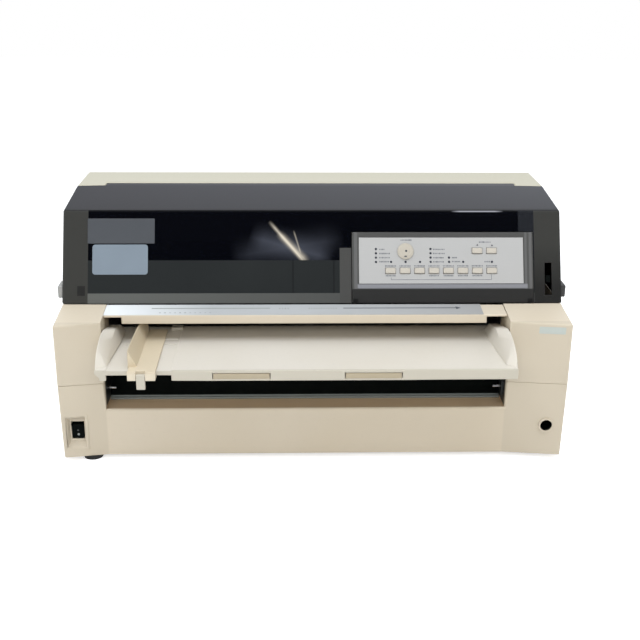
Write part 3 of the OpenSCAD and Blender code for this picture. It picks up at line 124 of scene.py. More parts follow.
def make_camera():
    lens = bpy.data.cameras.new("camera")
    lens.sensor_width = SENSOR
    lens.lens = FOCAL_PIXELS / PICTURE_PIXELS * SENSOR
    lens.clip_start = 0.01
    camera = bpy.data.objects.new("camera", lens)
    bpy.context.scene.collection.objects.link(camera)
    right, up, forward = camera_axes()
    turn = Matrix((right, up, -forward)).transposed().to_4x4()
    camera.matrix_world = Matrix.Translation(CAMERA_AT) @ turn
    bpy.context.scene.camera = camera
    return camera


camera = make_camera()
print("lens:", round(camera.data.lens, 2), "mm")

# %% [markdown]
# ## Shader maths in plain Python
# A finish mixes masks such as "left of this line" and "above that height". Built from
# single nodes they are hard to read. So `Number` wraps one output of a node, and adding or
# multiplying two of them adds the Math node that does it. `Finish` is one material, with
# one method that adds any other node. `over` and `between` make the masks: 0 outside, 1
# inside, with a soft step as wide as `soft` says.

# %% Number and Finish
class Number:
    """One output of a node, which counts as a number in Python's own sums."""

    def __init__(self, finish, socket):
        self.finish, self.socket = finish, socket

    def sum(self, operation, *values):
        return self.finish.add("ShaderNodeMath", {"operation": operation}, dict(enumerate(values)))

    def __add__(self, other): return self.sum("ADD", self, other)
    def __radd__(self, other): return self.sum("ADD", other, self)
    def __sub__(self, other): return self.sum("SUBTRACT", self, other)
    def __rsub__(self, other): return self.sum("SUBTRACT", other, self)
    def __mul__(self, other): return self.sum("MULTIPLY", self, other)
    def __rmul__(self, other): return self.sum("MULTIPLY", other, self)
    def __truediv__(self, other): return self.sum("DIVIDE", self, other)

    def absolute(self): return self.sum("ABSOLUTE", self)
    def root(self): return self.sum("SQRT", self)
    def clamped(self): return self.sum("MINIMUM", self.sum("MAXIMUM", self, 0.0), 1.0)
    def over(self, edge, soft=0.2): return ((self - edge) / soft + 0.5).clamped()
    def between(self, low, high, soft=0.2): return self.over(low, soft) * (1 - self.over(high, soft))


def colour(red, green, blue):
    """A colour as a screen shows it, 0 to 255, turned into the linear one that nodes take."""
    linear = [(c / 12.92 if c <= 0.04045 else ((c + 0.055) / 1.055) ** 2.4)
              for c in (red / 255, green / 255, blue / 255)]
    return (*linear, 1.0)


def shade_of(base, factor):
    """The same colour, lighter or darker."""
    return tuple(min(1.0, c * factor) for c in base[:3]) + (1.0,)


class Finish:
    """A material and short ways to add nodes to it."""

    def __init__(self, name, base, roughness, metallic=0.0, **fixed):
        self.material = bpy.data.materials.new(name)
        self.material.use_nodes = True
        self.tree = self.material.node_tree
        self.shader = self.tree.nodes["Principled BSDF"]
        self.set(Base_Color=base, Roughness=roughness, Metallic=metallic, **fixed)

    def put(self, socket, value):
        if isinstance(value, Number):
            self.tree.links.new(value.socket, socket)
        else:
            socket.default_value = value

    def add(self, kind, settings=None, inputs=None, output=0):
        node = self.tree.nodes.new(kind)
        for key, value in (settings or {}).items():
            setattr(node, key, value)
        for key, value in (inputs or {}).items():
            self.put(node.inputs[key], value)
        return Number(self, node.outputs[output])

    def set(self, **values):
        for key, value in values.items():
            self.put(self.shader.inputs[key.replace("_", " ")], value)
        return self

    def place(self):
        """Object coordinates: the place on the printer in metres."""
        return self.add("ShaderNodeTexCoord", output="Object")

    def millimetres(self):
        """x, y and z of the place, in the millimetres that `spot` takes."""
        x, y, z = (self.add("ShaderNodeSeparateXYZ", {}, {0: self.place()}, output=i) for i in range(3))
        return x / MM, y / MM - FRONT_LINE, z / MM

    def up_the_face(self, y, z):
        """How far up the cover's tilted face a place is, in millimetres."""
        return (y - FACE_Y) * math.cos(FACE_TILT) + (z - FACE_Z) * math.sin(FACE_TILT)

    def noise(self, scale, detail=2.0, stretch=(1, 1, 1)):
        place = self.add("ShaderNodeMapping", {}, {"Vector": self.place(), "Scale": stretch})
        return self.add("ShaderNodeTexNoise", {}, {"Vector": place, "Scale": scale, "Detail": detail})

    def flag(self, name):
        """A number that the script wrote on the faces."""
        return self.add("ShaderNodeAttribute", {"attribute_name": name}, output="Fac")

    def blend(self, low, high, factor):
        return self.add("ShaderNodeMix", {"data_type": "RGBA"}, {0: factor, 6: low, 7: high}, output=2)

    def paint_over(self, tone, where):
        """Lays another tone over the colour, as far as the mask says."""
        base = self.shader.inputs["Base Color"]
        self.put(base, self.blend(Number(self, base.links[0].from_socket), tone, where))

    def bump(self, height, distance, strength):
        settings = {"Height": height, "Distance": distance, "Strength": strength}
        return self.set(Normal=self.add("ShaderNodeBump", {}, settings))


print("one test colour:", [round(v, 3) for v in colour(222, 220, 205)])

# %% [markdown]
# ## Moulded plastics
# Office machines are injection moulded. The tool is spark eroded, so the skin has a fine,
# even grain that takes the shine off. Years of light have yellowed it in soft clouds, hands
# have polished the edges, and dust has settled in the grain. One function makes all these
# plastics; only the colour and the shine differ. The `rim` flag is 1 on the narrow faces
# that round an edge, where wear makes the plastic lighter and smoother.

# %% Plastics
def moulded(name, base, roughness=0.42, clouds=0.045, warm=(1.0, 0.985, 0.95)):
    finish = Finish(name, base, roughness)
    cloud = finish.noise(7.0, 3.0)
    dust = finish.noise(260.0, 4.0)
    aged = tuple(c * w for c, w in zip(shade_of(base, 1 - clouds), warm)) + (1.0,)
    mottled = finish.blend(base, aged, (cloud * 2.2 - 0.6).clamped())
    specked = finish.blend(mottled, shade_of(base, 0.88), (dust * 3.0 - 1.75).clamped() * 0.5)
    rim = finish.flag("rim") * (0.5 + finish.noise(90.0, 3.0) * 0.9)
    worn = finish.blend(specked, shade_of(base, 1.06), (rim * 0.55).clamped())
    finish.set(Base_Color=worn, Roughness=(dust - 0.5) * 0.16 + roughness - rim * 0.08)
    return finish.bump(finish.noise(1600.0, 3.0), 0.00004, 0.5)


LOW_IVORY, NO_YELLOW = colour(211, 200, 180), (1.0, 1.0, 1.0)
finishes = {
    "case_upper": moulded("ivory_plastic", LOW_IVORY),
    "case_lower": moulded("lower_ivory_plastic", LOW_IVORY),
    "table_plastic": moulded("pale_table_plastic", colour(213, 208, 197), 0.38),
    "tan_plastic": moulded("tan_plastic", colour(217, 207, 186), 0.4),
    "key_plastic": moulded("key_plastic", colour(187, 181, 169), 0.35),
    "gear_plastic": moulded("white_gear_plastic", colour(226, 223, 212), 0.3),
    "black_plastic": moulded("black_plastic", colour(8, 12, 11), 0.75, 0.1, warm=NO_YELLOW),
    "panel_grey": moulded("panel_grey_plastic", colour(78, 78, 77), 0.45, 0.08, warm=NO_YELLOW),
}
print("plastics:", sorted(finishes))

# %% [markdown]
# ### Tones on the casing and the table
# Seen from the front, the top of the casing is greener and paler than the pods below: it is
# turned to the cooler light from above, and its greener tone is painted light. The fronts of
# the pods get painted shade. The inside of the paper slot and the round hole in the right pod
# are painted dark as shade, and the tray in the slot gets a browner painted shade. The table's
# front lip and the outer side of the right fin get painted shade, and so does the fence of the
# sheet guide, in a warmer tan. Masks on the place blend these tones.

# %% Casing and table tones
TOP_LIGHT_TONE, POD_FRONT_SHADE, SLOT_SHADE = colour(187, 184, 164), colour(200, 189, 168), colour(17, 20, 19)
POD_LEFT_X, POD_RIGHT_X = -236.0, 218.6
SLOT_LEFT_X, SLOT_RIGHT_X, SLOT_DEPTH = -237.5, 220.0, 240.0
TRAY_Z, SLOT_LOW_Z, SLOT_HIGH_Z = 55.0, 62.5, 134.0
HOLE_X, HOLE_Z, HOLE_RADIUS = 266.7, 42.2, 7.2
LIP_Y, FENCE_Z = -52.0, 136.0


def pod_front_shade_mask(x, y):
    """The faces of both side pods that look forward, which get painted shade."""
    return (1 - y.over(9.6, 1.0)) * (1 - x.between(POD_LEFT_X, POD_RIGHT_X, 2.0))


def slot_inside(x, y, z):
    """The inside of the paper slot between the pods."""
    return (x.between(SLOT_LEFT_X, SLOT_RIGHT_X) * y.between(14.0, SLOT_DEPTH, 4.0)
            * z.between(SLOT_LOW_Z, SLOT_HIGH_Z, 2.0))


def tone_the_casing():
    upper, lower = finishes["case_upper"], finishes["case_lower"]
    # Painted light: the top gets a greener tone of its own, for the cooler light from above.
    upper.paint_over(TOP_LIGHT_TONE, upper.millimetres()[2].over(240.0, 60.0) * 0.85)
    for half in (upper, lower):
        x, y, z = half.millimetres()
        # Painted shade on the forward faces of both pods.
        half.paint_over(POD_FRONT_SHADE, pod_front_shade_mask(x, y))
        # Painted shade: the ivory inside the paper slot is painted nearly black.
        half.paint_over(SLOT_SHADE, slot_inside(x, y, z))
    x, y, z = lower.millimetres()
    # Painted shade: the tray floor in the slot gets a browner, darker tone.
    tray_shade = (x.between(SLOT_LEFT_X, SLOT_RIGHT_X) * y.between(12.0, SLOT_DEPTH, 2.0)
            * z.between(TRAY_Z, SLOT_LOW_Z, 1.0))
    lower.paint_over(colour(200, 175, 143), tray_shade)
    # Painted shade: the inside of the round hole in the right pod is painted nearly black.
    across, up = x - HOLE_X, z - HOLE_Z
    reach = (across * across + up * up).root()
    lower.paint_over(colour(8, 12, 11), (1 - reach.over(HOLE_RADIUS, 0.3)) * y.over(2.6, 1.0))


def tone_the_table():
    table = finishes["table_plastic"]
    x, y, z = table.millimetres()
    # Painted shade on the table's front lip.
    table.paint_over(colour(192, 186, 170), 1 - y.over(LIP_Y, 1.0))
    # Painted shade on the outer side of the right fin.
    table.paint_over(colour(186, 173, 150), x.over(222.5, 1.0) * (1 - y.over(-2.0, 8.0)))
    tan = finishes["tan_plastic"]
    x, y, z = tan.millimetres()
    # Painted shade: the fence of the sheet guide is painted a darker, warmer tan.
    tan.paint_over(colour(205, 191, 164), z.over(FENCE_Z, 4.0))


tone_the_casing()
tone_the_table()
print("nodes in the upper casing's finish:", len(finishes["case_upper"].tree.nodes))

# %% [markdown]
# ## The smoked cover
# The cover is one moulding in smoked plastic. Its window is polished; round it, the inner
# side is painted grey and the skin is matte. All the borders are straight lines on the
# tilted face, so the material works out the place up the face and builds each band as a
# mask. The window lets a little light through: that is its Alpha.

# %% Tones of the cover
WINDOW_LEFT, WINDOW_RIGHT, WINDOW_LOW = -258.0, 256.0, 50.5
LOW_STRIP_TOP, COLUMN_LEFT, COLUMN_RIGHT, COLUMN_TOP = 12.4, 30.3, 43.9, 64.8
SLOPE_Y, SLOPE_Z, SLOPE_DEPTH, COVER_WIDTH = 102.0, 262.0, 98.0, 560.0


def face_tone(finish, x, s, column):
    """The greys of the face below and beside the window."""
    across = x.between(WINDOW_LEFT, WINDOW_RIGHT)
    low_strip = across * (1 - s.over(LOW_STRIP_TOP))
    toward_left = (x * -0.0018 + 0.35).clamped()
    right_low = x.over(WINDOW_RIGHT) * (1 - s.over(44.0, 50.0))
    ribs = (x.between(-24.2, -22.8, 0.6) + x.between(22.8, 24.2, 0.6)).clamped() * s.over(LOW_STRIP_TOP)
    foot = x.between(-269.8, -261.0) * s.between(9.7, 21.0)
    tone = finish.blend(colour(26, 29, 30), colour(36, 39, 39), finish.noise(9.0, 3.0))
    light = finish.blend(colour(58, 59, 58), colour(94, 96, 92), toward_left)
    for other, where in ((light, low_strip), (colour(52, 52, 49), 1 - across),
                         (colour(34, 34, 33), right_low), (colour(66, 66, 64), column),
                         (colour(16, 17, 18), ribs * 0.8), (colour(34, 34, 33), foot)):
        tone = finish.blend(tone, other, where)
    return tone


def slope_tone(finish, tone, x, y, slope):
    """The part that slopes back gets a painted reflection, lighter to the right and darker towards the
    crease, and painted shade right along the crease.
    """
    toward_right = (x / COVER_WIDTH + 0.5).clamped()
    toward_crease = (1 - (y - SLOPE_Y) / SLOPE_DEPTH).clamped() * 0.45
    # Painted reflection across the slope, and painted shade along the crease below.
    reflection_grey = finish.blend(colour(18, 18, 30), colour(56, 57, 63), toward_right)
    tone = finish.blend(tone, reflection_grey, slope)
    tone = finish.blend(tone, colour(8, 9, 14), slope * toward_crease)
    return finish.blend(tone, colour(5, 6, 11), slope * (1 - y.over(SLOPE_Y + 5.0, 2.5)) * 0.85)


# %% [markdown]
# ### Light in the window
# A polished dark window shows bright lines where it mirrors the room: two thin beams that
# meet at the window's foot, a soft glow round them, and a short line on the crease. Each is
# a streak, brightest along its middle, and they go into the Emission Color together.

# %% Smoked cover finish
BEAMS = ((-47.6, 91.8, -12.6, 50.9, 3.6, 1.0), (-38.0, 80.0, -9.0, 50.9, 7.0, 0.8),
         (-22.1, 83.1, -15.0, 60.0, 1.8, 0.6))
GLOWS = ((-84.0, 56.0, 24.9, 74.0, 28.0, 0.05), (-66.0, 76.0, 14.0, 54.0, 26.0, 0.11))
CREASE_LINE = (165.0, 107.4, 216.0, 107.4, 1.7, 0.9)


def streak(x, s, x0, s0, x1, s1, half_width, strength):
    """A soft line of light between two places on the face."""
    length = math.hypot(x1 - x0, s1 - s0)
    ux, us = (x1 - x0) / length, (s1 - s0) / length
    beside = (x - x0) * -us + (s - s0) * ux
    along = (x - x0) * ux + (s - s0) * us
    fade = (1 - beside.absolute() / half_width).clamped()
    return fade * fade * along.between(0.0, length, length * 0.2) * strength


def window_light(finish, x, s, window, slope):
    """Glow, beams and the line on the crease, laid over black."""
    glow = sum(streak(x, s, *line) for line in GLOWS) * window
    beam = sum(streak(x, s, *line) for line in BEAMS) * 0.75 * window
    crease = streak(x, s, *CREASE_LINE) * (1 - slope)
    lit = (0.0, 0.0, 0.0, 1.0)
    for tone, where in ((colour(176, 184, 206), glow), (colour(228, 219, 200), beam),
                        (colour(214, 217, 228), crease)):
        lit = finish.blend(lit, tone, where.clamped())
    return lit


def smoked_finish():
    finish = Finish("smoked_plastic", colour(46, 49, 50), 0.4, Specular_IOR_Level=0.3)
    x, y, z = finish.millimetres()
    s = finish.up_the_face(y, z)
    slope = y.over(SLOPE_Y + 0.2, 0.6) * z.over(SLOPE_Z, 2.0)
    column = x.between(COLUMN_LEFT, COLUMN_RIGHT) * (1 - s.over(COLUMN_TOP))
    window = x.between(WINDOW_LEFT, WINDOW_RIGHT) * s.over(WINDOW_LOW) * (1 - column) * (1 - slope)
    glass = finish.blend(colour(3, 4, 9), colour(40, 42, 46), x.between(238.0, WINDOW_RIGHT) * 0.8)
    tone = slope_tone(finish, face_tone(finish, x, s, column), x, y, slope)
    scuffs = (finish.noise(300.0, 3.0) * 4.0 - 2.6).clamped()
    finish.set(
        Base_Color=finish.blend(tone, glass, window),
        Roughness=0.42 - window * 0.37 + scuffs * 0.08,
        Alpha=1.0 - window * 0.13,
        Emission_Color=window_light(finish, x, s, window, slope),
        Emission_Strength=1.0,
    )
    return finish.bump(finish.noise(1600.0, 3.0) * (1 - window), 0.00003, 0.4)


finishes["smoked_cover"] = smoked_finish()
print("nodes in the cover's finish:", len(finishes["smoked_cover"].tree.nodes))

# %% [markdown]
# ## Metals, rubber and the rest
# Ground shafts have fine rings round them, sheet steel has the cloudy crystals of its zinc,
# and the black alloy of the print head is dusty. Each is a base tone, a stretched or cloudy
# noise on roughness, and a touch of bump.

# %% Metals, rubber, boards
def metal(name, base, roughness, stretch, scale, bump=0.00002, spread=0.2):
    finish = Finish(name, base, roughness, 1.0)
    lines = finish.noise(scale, 4.0, stretch)
    tone = finish.blend(shade_of(base, 0.86), shade_of(base, 1.06), lines)
    finish.set(Base_Color=tone, Roughness=(lines - 0.5) * spread + roughness)
    return finish.bump(lines, bump, 0.4)


def dull(name, base, roughness, contrast=0.25):
    finish = Finish(name, base, roughness)
    dust, cloud = finish.noise(220.0, 4.0), finish.noise(18.0, 3.0)
    low, high = shade_of(base, 1 - contrast), shade_of(base, 1 + contrast)
    tone = finish.blend(low, high, dust * 0.6 + cloud * 0.4)
    finish.set(Base_Color=tone, Roughness=(dust - 0.5) * 0.2 + roughness)
    return finish.bump(dust, 0.00006, 0.5)


def board_finish():
    """Green solder mask over copper tracks, which show as raised, lighter lines."""
    base = colour(28, 92, 55)
    finish = Finish("circuit_board", base, 0.3)
    cells = finish.add("ShaderNodeTexVoronoi", {"feature": "DISTANCE_TO_EDGE"},
                       {"Vector": finish.place(), "Scale": 130.0})
    track = 1 - cells.over(0.06, 0.04)
    tone = finish.blend(base, colour(52, 128, 78), track * 0.7)
    finish.set(Base_Color=tone, Roughness=0.26 + finish.noise(120.0) * 0.2)
    return finish.bump(track, 0.00003, 0.5)


finishes.update({
    "steel": metal("ground_steel", colour(205, 206, 208), 0.25, (900, 1, 1), 1.0),
    "zinc_plate": metal("zinc_plated_sheet", colour(188, 190, 189), 0.42, (1, 1, 1), 60.0),
    "silver_film": metal("silver_film", colour(184, 187, 187), 0.5, (1, 30, 30), 40.0, 0.00001, 0.1),
    "cast_alloy": metal("black_alloy", colour(70, 70, 72), 0.5, (1, 1, 1), 300.0, 0.00005),
    "brass": metal("turned_brass", colour(212, 180, 110), 0.3, (1, 1, 60), 8.0),
    "motor_steel": dull("black_painted_steel", colour(38, 38, 40), 0.4),
    "rubber": dull("black_rubber", colour(36, 36, 36), 0.75),
    "tab_plastic": dull("tab_plastic", colour(58, 58, 58), 0.5, contrast=0.08),
    "circuit_board": board_finish(),
})
finishes["silver_film"].set(Metallic=0.0)
print("finishes:", len(finishes))

# %% [markdown]
# ## Dressing the measured parts
# First every CAD part gets the finish of its material slot. That alone is right for parts
# that are turned or folded from metal.

# %% Finish on every CAD part
for node, part in frame["nodes"].items():
    part.data.materials.clear()
    part.data.materials.append(finishes[SLOT_OF[node]].material)
print("dressed", len(frame["nodes"]), "parts")

# %% [markdown]
# ## Rounded mouldings
# CAD parts have knife-sharp edges, which no mould leaves. `soften` copies a part, joins its
# loose triangles, and bevels the edges that a test picks out: long ones that point outwards.
# The new narrow faces get the `rim` flag. Short edges round holes stay as they are, because
# a bevel there would be wider than the face beside it. Where two bevels meet, the outline of
# a large face can cross itself, so `fill_again` cuts such a face into triangles. At the end
# the normals are weighted by area, so that the flat faces stay flat in the light.

# %% Bevels
WELD = 2e-6
FLAT, CORNER, CREASE = (math.radians(a) for a in (0.6, 28, 38))
LONG_IN_WIDTHS = 3.2


def join_triangles(mesh):
    """A copy of a CAD mesh in which flat neighbours are one face."""
    shape = bmesh.new()
    shape.from_mesh(mesh)
    bmesh.ops.remove_doubles(shape, verts=shape.verts, dist=WELD)
    bmesh.ops.dissolve_limit(shape, angle_limit=FLAT, verts=shape.verts, edges=shape.edges)
    return shape


def round_edges(shape, width, segments, test):
    """Bevels the picked edges and flags the faces that this makes."""
    rim = shape.faces.layers.float.get("rim") or shape.faces.layers.float.new("rim")
    picked = [edge for edge in shape.edges
              if len(edge.link_faces) == 2 and edge.is_convex
              and edge.calc_face_angle(0.0) > CORNER
              and edge.calc_length() > LONG_IN_WIDTHS * width * MM
              and test(edge.verts[0].co, edge.verts[1].co)]
    if picked:
        made = bmesh.ops.bevel(shape, geom=picked, offset=width * MM, offset_type="OFFSET",
                               segments=segments, profile=0.5, affect="EDGES",
                               clamp_overlap=False, miter_outer="ARC", loop_slide=True)
        for face in made["faces"]:
            face[rim] = 1.0
    return len(picked)


def anywhere(a, b):
    return True


# %% Sound faces
SAME_AREA, SAME_PLACE = 1e-4, 1e-7


def is_inside(point, outline):
    """True when a line to the right of the point crosses the outline an odd number of times."""
    odd = False
    for a, b in zip(outline, outline[1:] + outline[:1]):
        if (a.y > point.y) != (b.y > point.y):
            if point.x < (b.x - a.x) * (point.y - a.y) / (b.y - a.y) + a.x:
                odd = not odd
    return odd


def fill_again(shape):
    """Cuts each many-sided face that would be filled wrongly into sound triangles."""
    filled = {}
    for loops in shape.calc_loop_triangles():
        a, b, c = (loop.vert.co for loop in loops)
        face = loops[0].face
        filled[face] = filled.get(face, 0.0) + (b - a).cross(c - a).length / 2
    wrong = [face for face, area in filled.items()
             if len(face.verts) > 4 and abs(area - face.calc_area()) > SAME_AREA * area + 1e-9]
    for face in wrong:
        corners = [loop.vert for loop in face.loops]
        normal = face.normal.copy()
        side = normal.orthogonal().normalized()
        up = normal.cross(side)
        height = sum(v.co.dot(normal) for v in corners) / len(corners)
        flat = [Vector((v.co.dot(side), v.co.dot(up))) for v in corners]
        cut = delaunay_2d_cdt(flat, [], [list(range(len(flat)))], 0, SAME_PLACE)
        spots, _, triangles, origins = cut[:4]
        points = [corners[origin[0]] if origin
                  else shape.verts.new(side * p.x + up * p.y + normal * height)
                  for p, origin in zip(spots, origins)]
        for triangle in triangles:
            picks = [points[k] for k in triangle]
            middle = sum((spots[k] for k in triangle), Vector((0.0, 0.0))) / 3
            if is_inside(middle, flat) and len(set(picks)) == 3 and not shape.faces.get(picks):
                shape.faces.new(picks)
        shape.faces.remove(face)
    return len(wrong)


# %% Finished pieces
def finished_piece(name, mesh, node, finish=None, instead=False):
    """Makes the mesh an object that rides with a CAD part, or stands instead of it."""
    mesh.materials.clear()
    mesh.materials.append((finish or finishes[SLOT_OF[node]]).material)
    mesh.shade_smooth()
    mesh.set_sharp_from_angle(angle=CREASE)
    piece = bpy.data.objects.new(name, mesh)
    bpy.context.scene.collection.objects.link(piece)
    weigh = piece.modifiers.new("weigh_normals", "WEIGHTED_NORMAL")
    weigh.keep_sharp = True
    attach(piece, BODY_OF[node])
    if instead:
        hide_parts(node)
    print(f"{name}: {len(mesh.polygons)} faces on {BODY_OF[node]}")


def soften(node, *passes, finish=None):
    """Each pass is a width in millimetres, a number of segments and a test for edges."""
    shape = join_triangles(frame["nodes"][node].data)
    counts = [round_edges(shape, *one) for one in passes]
    print(f"{node}: {counts} edges rounded, {fill_again(shape)} faces filled again")
    mesh = bpy.data.meshes.new(node + "_moulded")
    shape.to_mesh(mesh)
    shape.free()
    finished_piece(mesh.name, mesh, node, finish, instead=True)


# %% [markdown]
# ## The casing
# Both halves of the casing have wide rounded corners outside and thin walls inside. So the
# long outer edges are rounded first and wide, and then every other long edge a little. At
# the seam, where two mouldings meet, the edge stays small, or the seam would look like a
# ditch. It stays small at the vents of the back too, which lie close together.

# %% Casing
SEAM_Z, DESK_EDGE_Z, SIDE_SKIN, TOP_SKIN = (size * MM for size in (94.2, 5.5, 284.8, 277.5))
FRONT_SKIN, BACK_SKIN = spot(0, 10.5, 0).y, spot(0, 318.5, 0).y
VENTS_X, VENTS_LOW_Z, VENTS_HIGH_Z = (size * MM for size in (280, 8, 90))
WIDE, FINE = 2.2, 0.5


def outside(a, b):
    """True for an edge on the outer skin of the casing, where the mould is rounded."""
    at_seam = any(abs(p.z - SEAM_Z) < MM for p in (a, b)) and abs(a.z - b.z) < MM
    at_desk = a.z < DESK_EDGE_Z and b.z < DESK_EDGE_Z
    at_vents = all(p.y > BACK_SKIN and abs(p.x) < VENTS_X and VENTS_LOW_Z < p.z < VENTS_HIGH_Z
                   for p in (a, b))
    skin = all(abs(p.x) > SIDE_SKIN or p.y < FRONT_SKIN or p.y > BACK_SKIN or p.z > TOP_SKIN
               for p in (a, b))
    return skin and not at_seam and not at_desk and not at_vents


for node in ("upper_case", "lower_case"):
    soften(node, (WIDE, 3, outside), (FINE, 2, anywhere))
soften("rear_flap", (0.6, 2, anywhere))

# %% [markdown]
# ## Cover, panel, bar and table
# The same helper rounds the other mouldings: wide at the cover's outline, fine on the rest.
# The keys get soft shoulders, as they are pressed with a finger. The left tab gets a tone of its
# own. The grey frame of the panel gets a painted highlight on its lip and painted light on its
# sides, the supports get a darker tan as painted shade, and the foot of the guide plate is
# painted lighter where it catches the light.

# %% Tones of the other mouldings
def bezel_finish():
    """The grey frame of the panel: a painted highlight on its bevelled lip, painted light on its inner
    sides, and dark matte plastic below it.
    """
    finish = moulded("bezel_grey", colour(72, 72, 70), 0.45, 0.08, warm=NO_YELLOW)
    x, y, z = finish.millimetres()
    s = finish.up_the_face(y, z)
    # Painted light on the inner sides of the frame.
    lit_sides_mask = x.between(46.8, 50.6, 0.8) + x.between(244.6, 247.2, 0.8) + x.between(249.6, 252.8, 0.8)
    finish.paint_over(colour(96, 96, 95), lit_sides_mask.clamped() * 0.8)
    # Painted highlight along the lip that faces up.
    lip_highlight_mask = x.between(50.8, 247.6, 1.5)
    finish.paint_over(colour(126, 127, 131), lip_highlight_mask * s.between(17.6, 22.4, 1.6))
    finish.paint_over(colour(36, 36, 35), 1 - s.over(17.0, 1.0))
    notch = x.between(45.6, 51.4) + x.between(247.2, 253.0)
    finish.paint_over(colour(10, 11, 11), notch * s.between(1.2, 5.6))
    return finish


def tone_tab_and_guide_plate():
    """The left tab is pale, and the foot of the black guide plate catches the light."""
    tab, black = finishes["tab_plastic"], finishes["black_plastic"]
    tab.paint_over(colour(160, 160, 156), 1 - tab.millimetres()[0].over(0.0))
    x, y, z = black.millimetres()
    foot = y.between(38.0, 46.6) * z.between(60.2, 63.4, 1.0) * x.between(POD_LEFT_X, POD_RIGHT_X - 0.2)
    black.paint_over(colour(140, 146, 145), foot)
    black.set(Specular_IOR_Level=0.08)


tone_tab_and_guide_plate()
# Painted shade: the sheet supports on the table's lip get a darker copy of the tan plastic.
shaded_support_finish = moulded("support_plastic", colour(177, 165, 141), 0.42)
print("nodes in the tab's finish:", len(finishes["tab_plastic"].tree.nodes))

# %% Other mouldings
soften("front_cover", (1.8, 3, outside), (0.4, 2, anywhere))
EDGE_WIDTHS = {"cover_lift_tabs": 1.0, "panel_housing": 0.8, "front_bar": 0.8, "paper_table": 0.8,
               "left_table_guide": 0.5, "right_table_guide": 0.5, "sheet_guide": 0.5,
               "guide_lock": 0.5, "sheet_support_left": 0.4, "sheet_support_right": 0.4,
               "power_rocker": 0.4}
EDGE_WIDTHS.update({node: 0.8 for node in sorted(frame["nodes"]) if node.startswith("key_")})
OWN_FINISH = {"panel_housing": bezel_finish(), "sheet_support_left": shaded_support_finish,
              "sheet_support_right": shaded_support_finish}
for node, width in EDGE_WIDTHS.items():
    soften(node, (width, 2, anywhere), finish=OWN_FINISH.get(node))

# %% [markdown]
# ## Small parts that are built here
# Labels, printed lines and trim are thin shapes on a surface. `Builder` gathers them in one
# mesh: a prism from an outline, put in place by a function such as `spot` or `on_face`. All
# the pieces of one kind go in one mesh, so the printer stays light.

# %% Builder
class Builder:
    def __init__(self):
        self.shape = bmesh.new()
        self.shape.faces.layers.float.new("rim")

    def prism(self, outline, low, high, put):
        """A flat outline, drawn from low to high along the third direction of `put`."""
        rings = [[self.shape.verts.new(put(u, v, h)) for u, v in outline] for h in (low, high)]
        self.shape.faces.new(list(reversed(rings[0])))
        self.shape.faces.new(rings[1])
        for i in range(len(outline)):
            j = (i + 1) % len(outline)
            self.shape.faces.new((rings[0][i], rings[0][j], rings[1][j], rings[1][i]))

    def bar(self, u0, u1, v0, v1, low, high, put):
        """A straight bar, from low to high."""
        self.prism([(u0, v0), (u1, v0), (u1, v1), (u0, v1)], low, high, put)

    def lathe(self, profile, centre, put, steps):
        """A profile of (radius, height) points, turned round the third direction of `put`."""
        ways = [(math.cos(math.tau * k / steps), math.sin(math.tau * k / steps)) for k in range(steps)]
        rings = [[self.shape.verts.new(put(centre[0] + radius * c, centre[1] + radius * s, height))
                  for c, s in ways] for radius, height in profile]
        self.shape.faces.new(list(reversed(rings[0])))
        self.shape.faces.new(rings[-1])
        for low, high in zip(rings, rings[1:]):
            for k in range(steps):
                self.shape.faces.new((low[k], low[(k + 1) % steps], high[(k + 1) % steps], high[k]))

    def take(self, mesh):
        """Adds a finished mesh to the ones gathered here."""
        self.shape.from_mesh(mesh)
        bpy.data.meshes.remove(mesh)

    def mesh(self, name, edge=0.0):
        """Hands over what was gathered."""
        bmesh.ops.recalc_face_normals(self.shape, faces=self.shape.faces)
        if edge:
            round_edges(self.shape, edge, 2, anywhere)
        mesh = bpy.data.meshes.new(name)
        self.shape.to_mesh(mesh)
        self.shape.free()
        return mesh

    def piece(self, name, node, finish, edge=0.0):
        """Makes a piece that rides with a CAD part."""
        finished_piece(name, self.mesh(name, edge), node, finish)


def rounded(x0, x1, y0, y1, radius):
    """The outline of a plate with rounded corners, each of five short steps."""
    corners = ((x1 - radius, y0 + radius, -90), (x1 - radius, y1 - radius, 0),
               (x0 + radius, y1 - radius, 90), (x0 + radius, y0 + radius, 180))
    return [(cx + radius * math.cos(math.radians(start + 90 * k / 5)),
             cy + radius * math.sin(math.radians(start + 90 * k / 5)))
            for cx, cy, start in corners for k in range(6)]


# %% [markdown]
# ## Labels on the cover and the pod
# A dark plate and a pale sticker sit at the left of the window, and a small label on the
# right pod. All three are plain. Paper is a little uneven, so the finish of the sticker and
# the label has a soft cloud and a fine fibre grain.

# %% Labels
POD_OUTER_X, POD_STEP, GAP = 287.0, 8.5, 0.02


def paper(name, base):
    finish = Finish(name, base, 0.4)
    fibre, cloud = finish.noise(500.0, 4.0, (1, 3, 3)), finish.noise(40.0, 3.0)
    tone = finish.blend(shade_of(base, 0.9), shade_of(base, 1.05), fibre * 0.4 + cloud * 0.6)
    finish.set(Base_Color=tone, Roughness=0.4 + (fibre - 0.5) * 0.2)
    return finish.bump(fibre, 0.00002, 0.4)


def on_right_pod(x, z, n):
    """x across and z up on the slanted front of the right pod, n out of it."""
    slant = POD_STEP / (POD_OUTER_X - POD_RIGHT_X)
    return spot(x - n * slant, POD_STEP - (x - POD_RIGHT_X) * slant - n, z)


def make_label(name, node, finish, box, top, put, edge=0.0):
    label = Builder()
    label.prism(rounded(*box), GAP, top, put)
    label.piece(name, node, finish, edge)


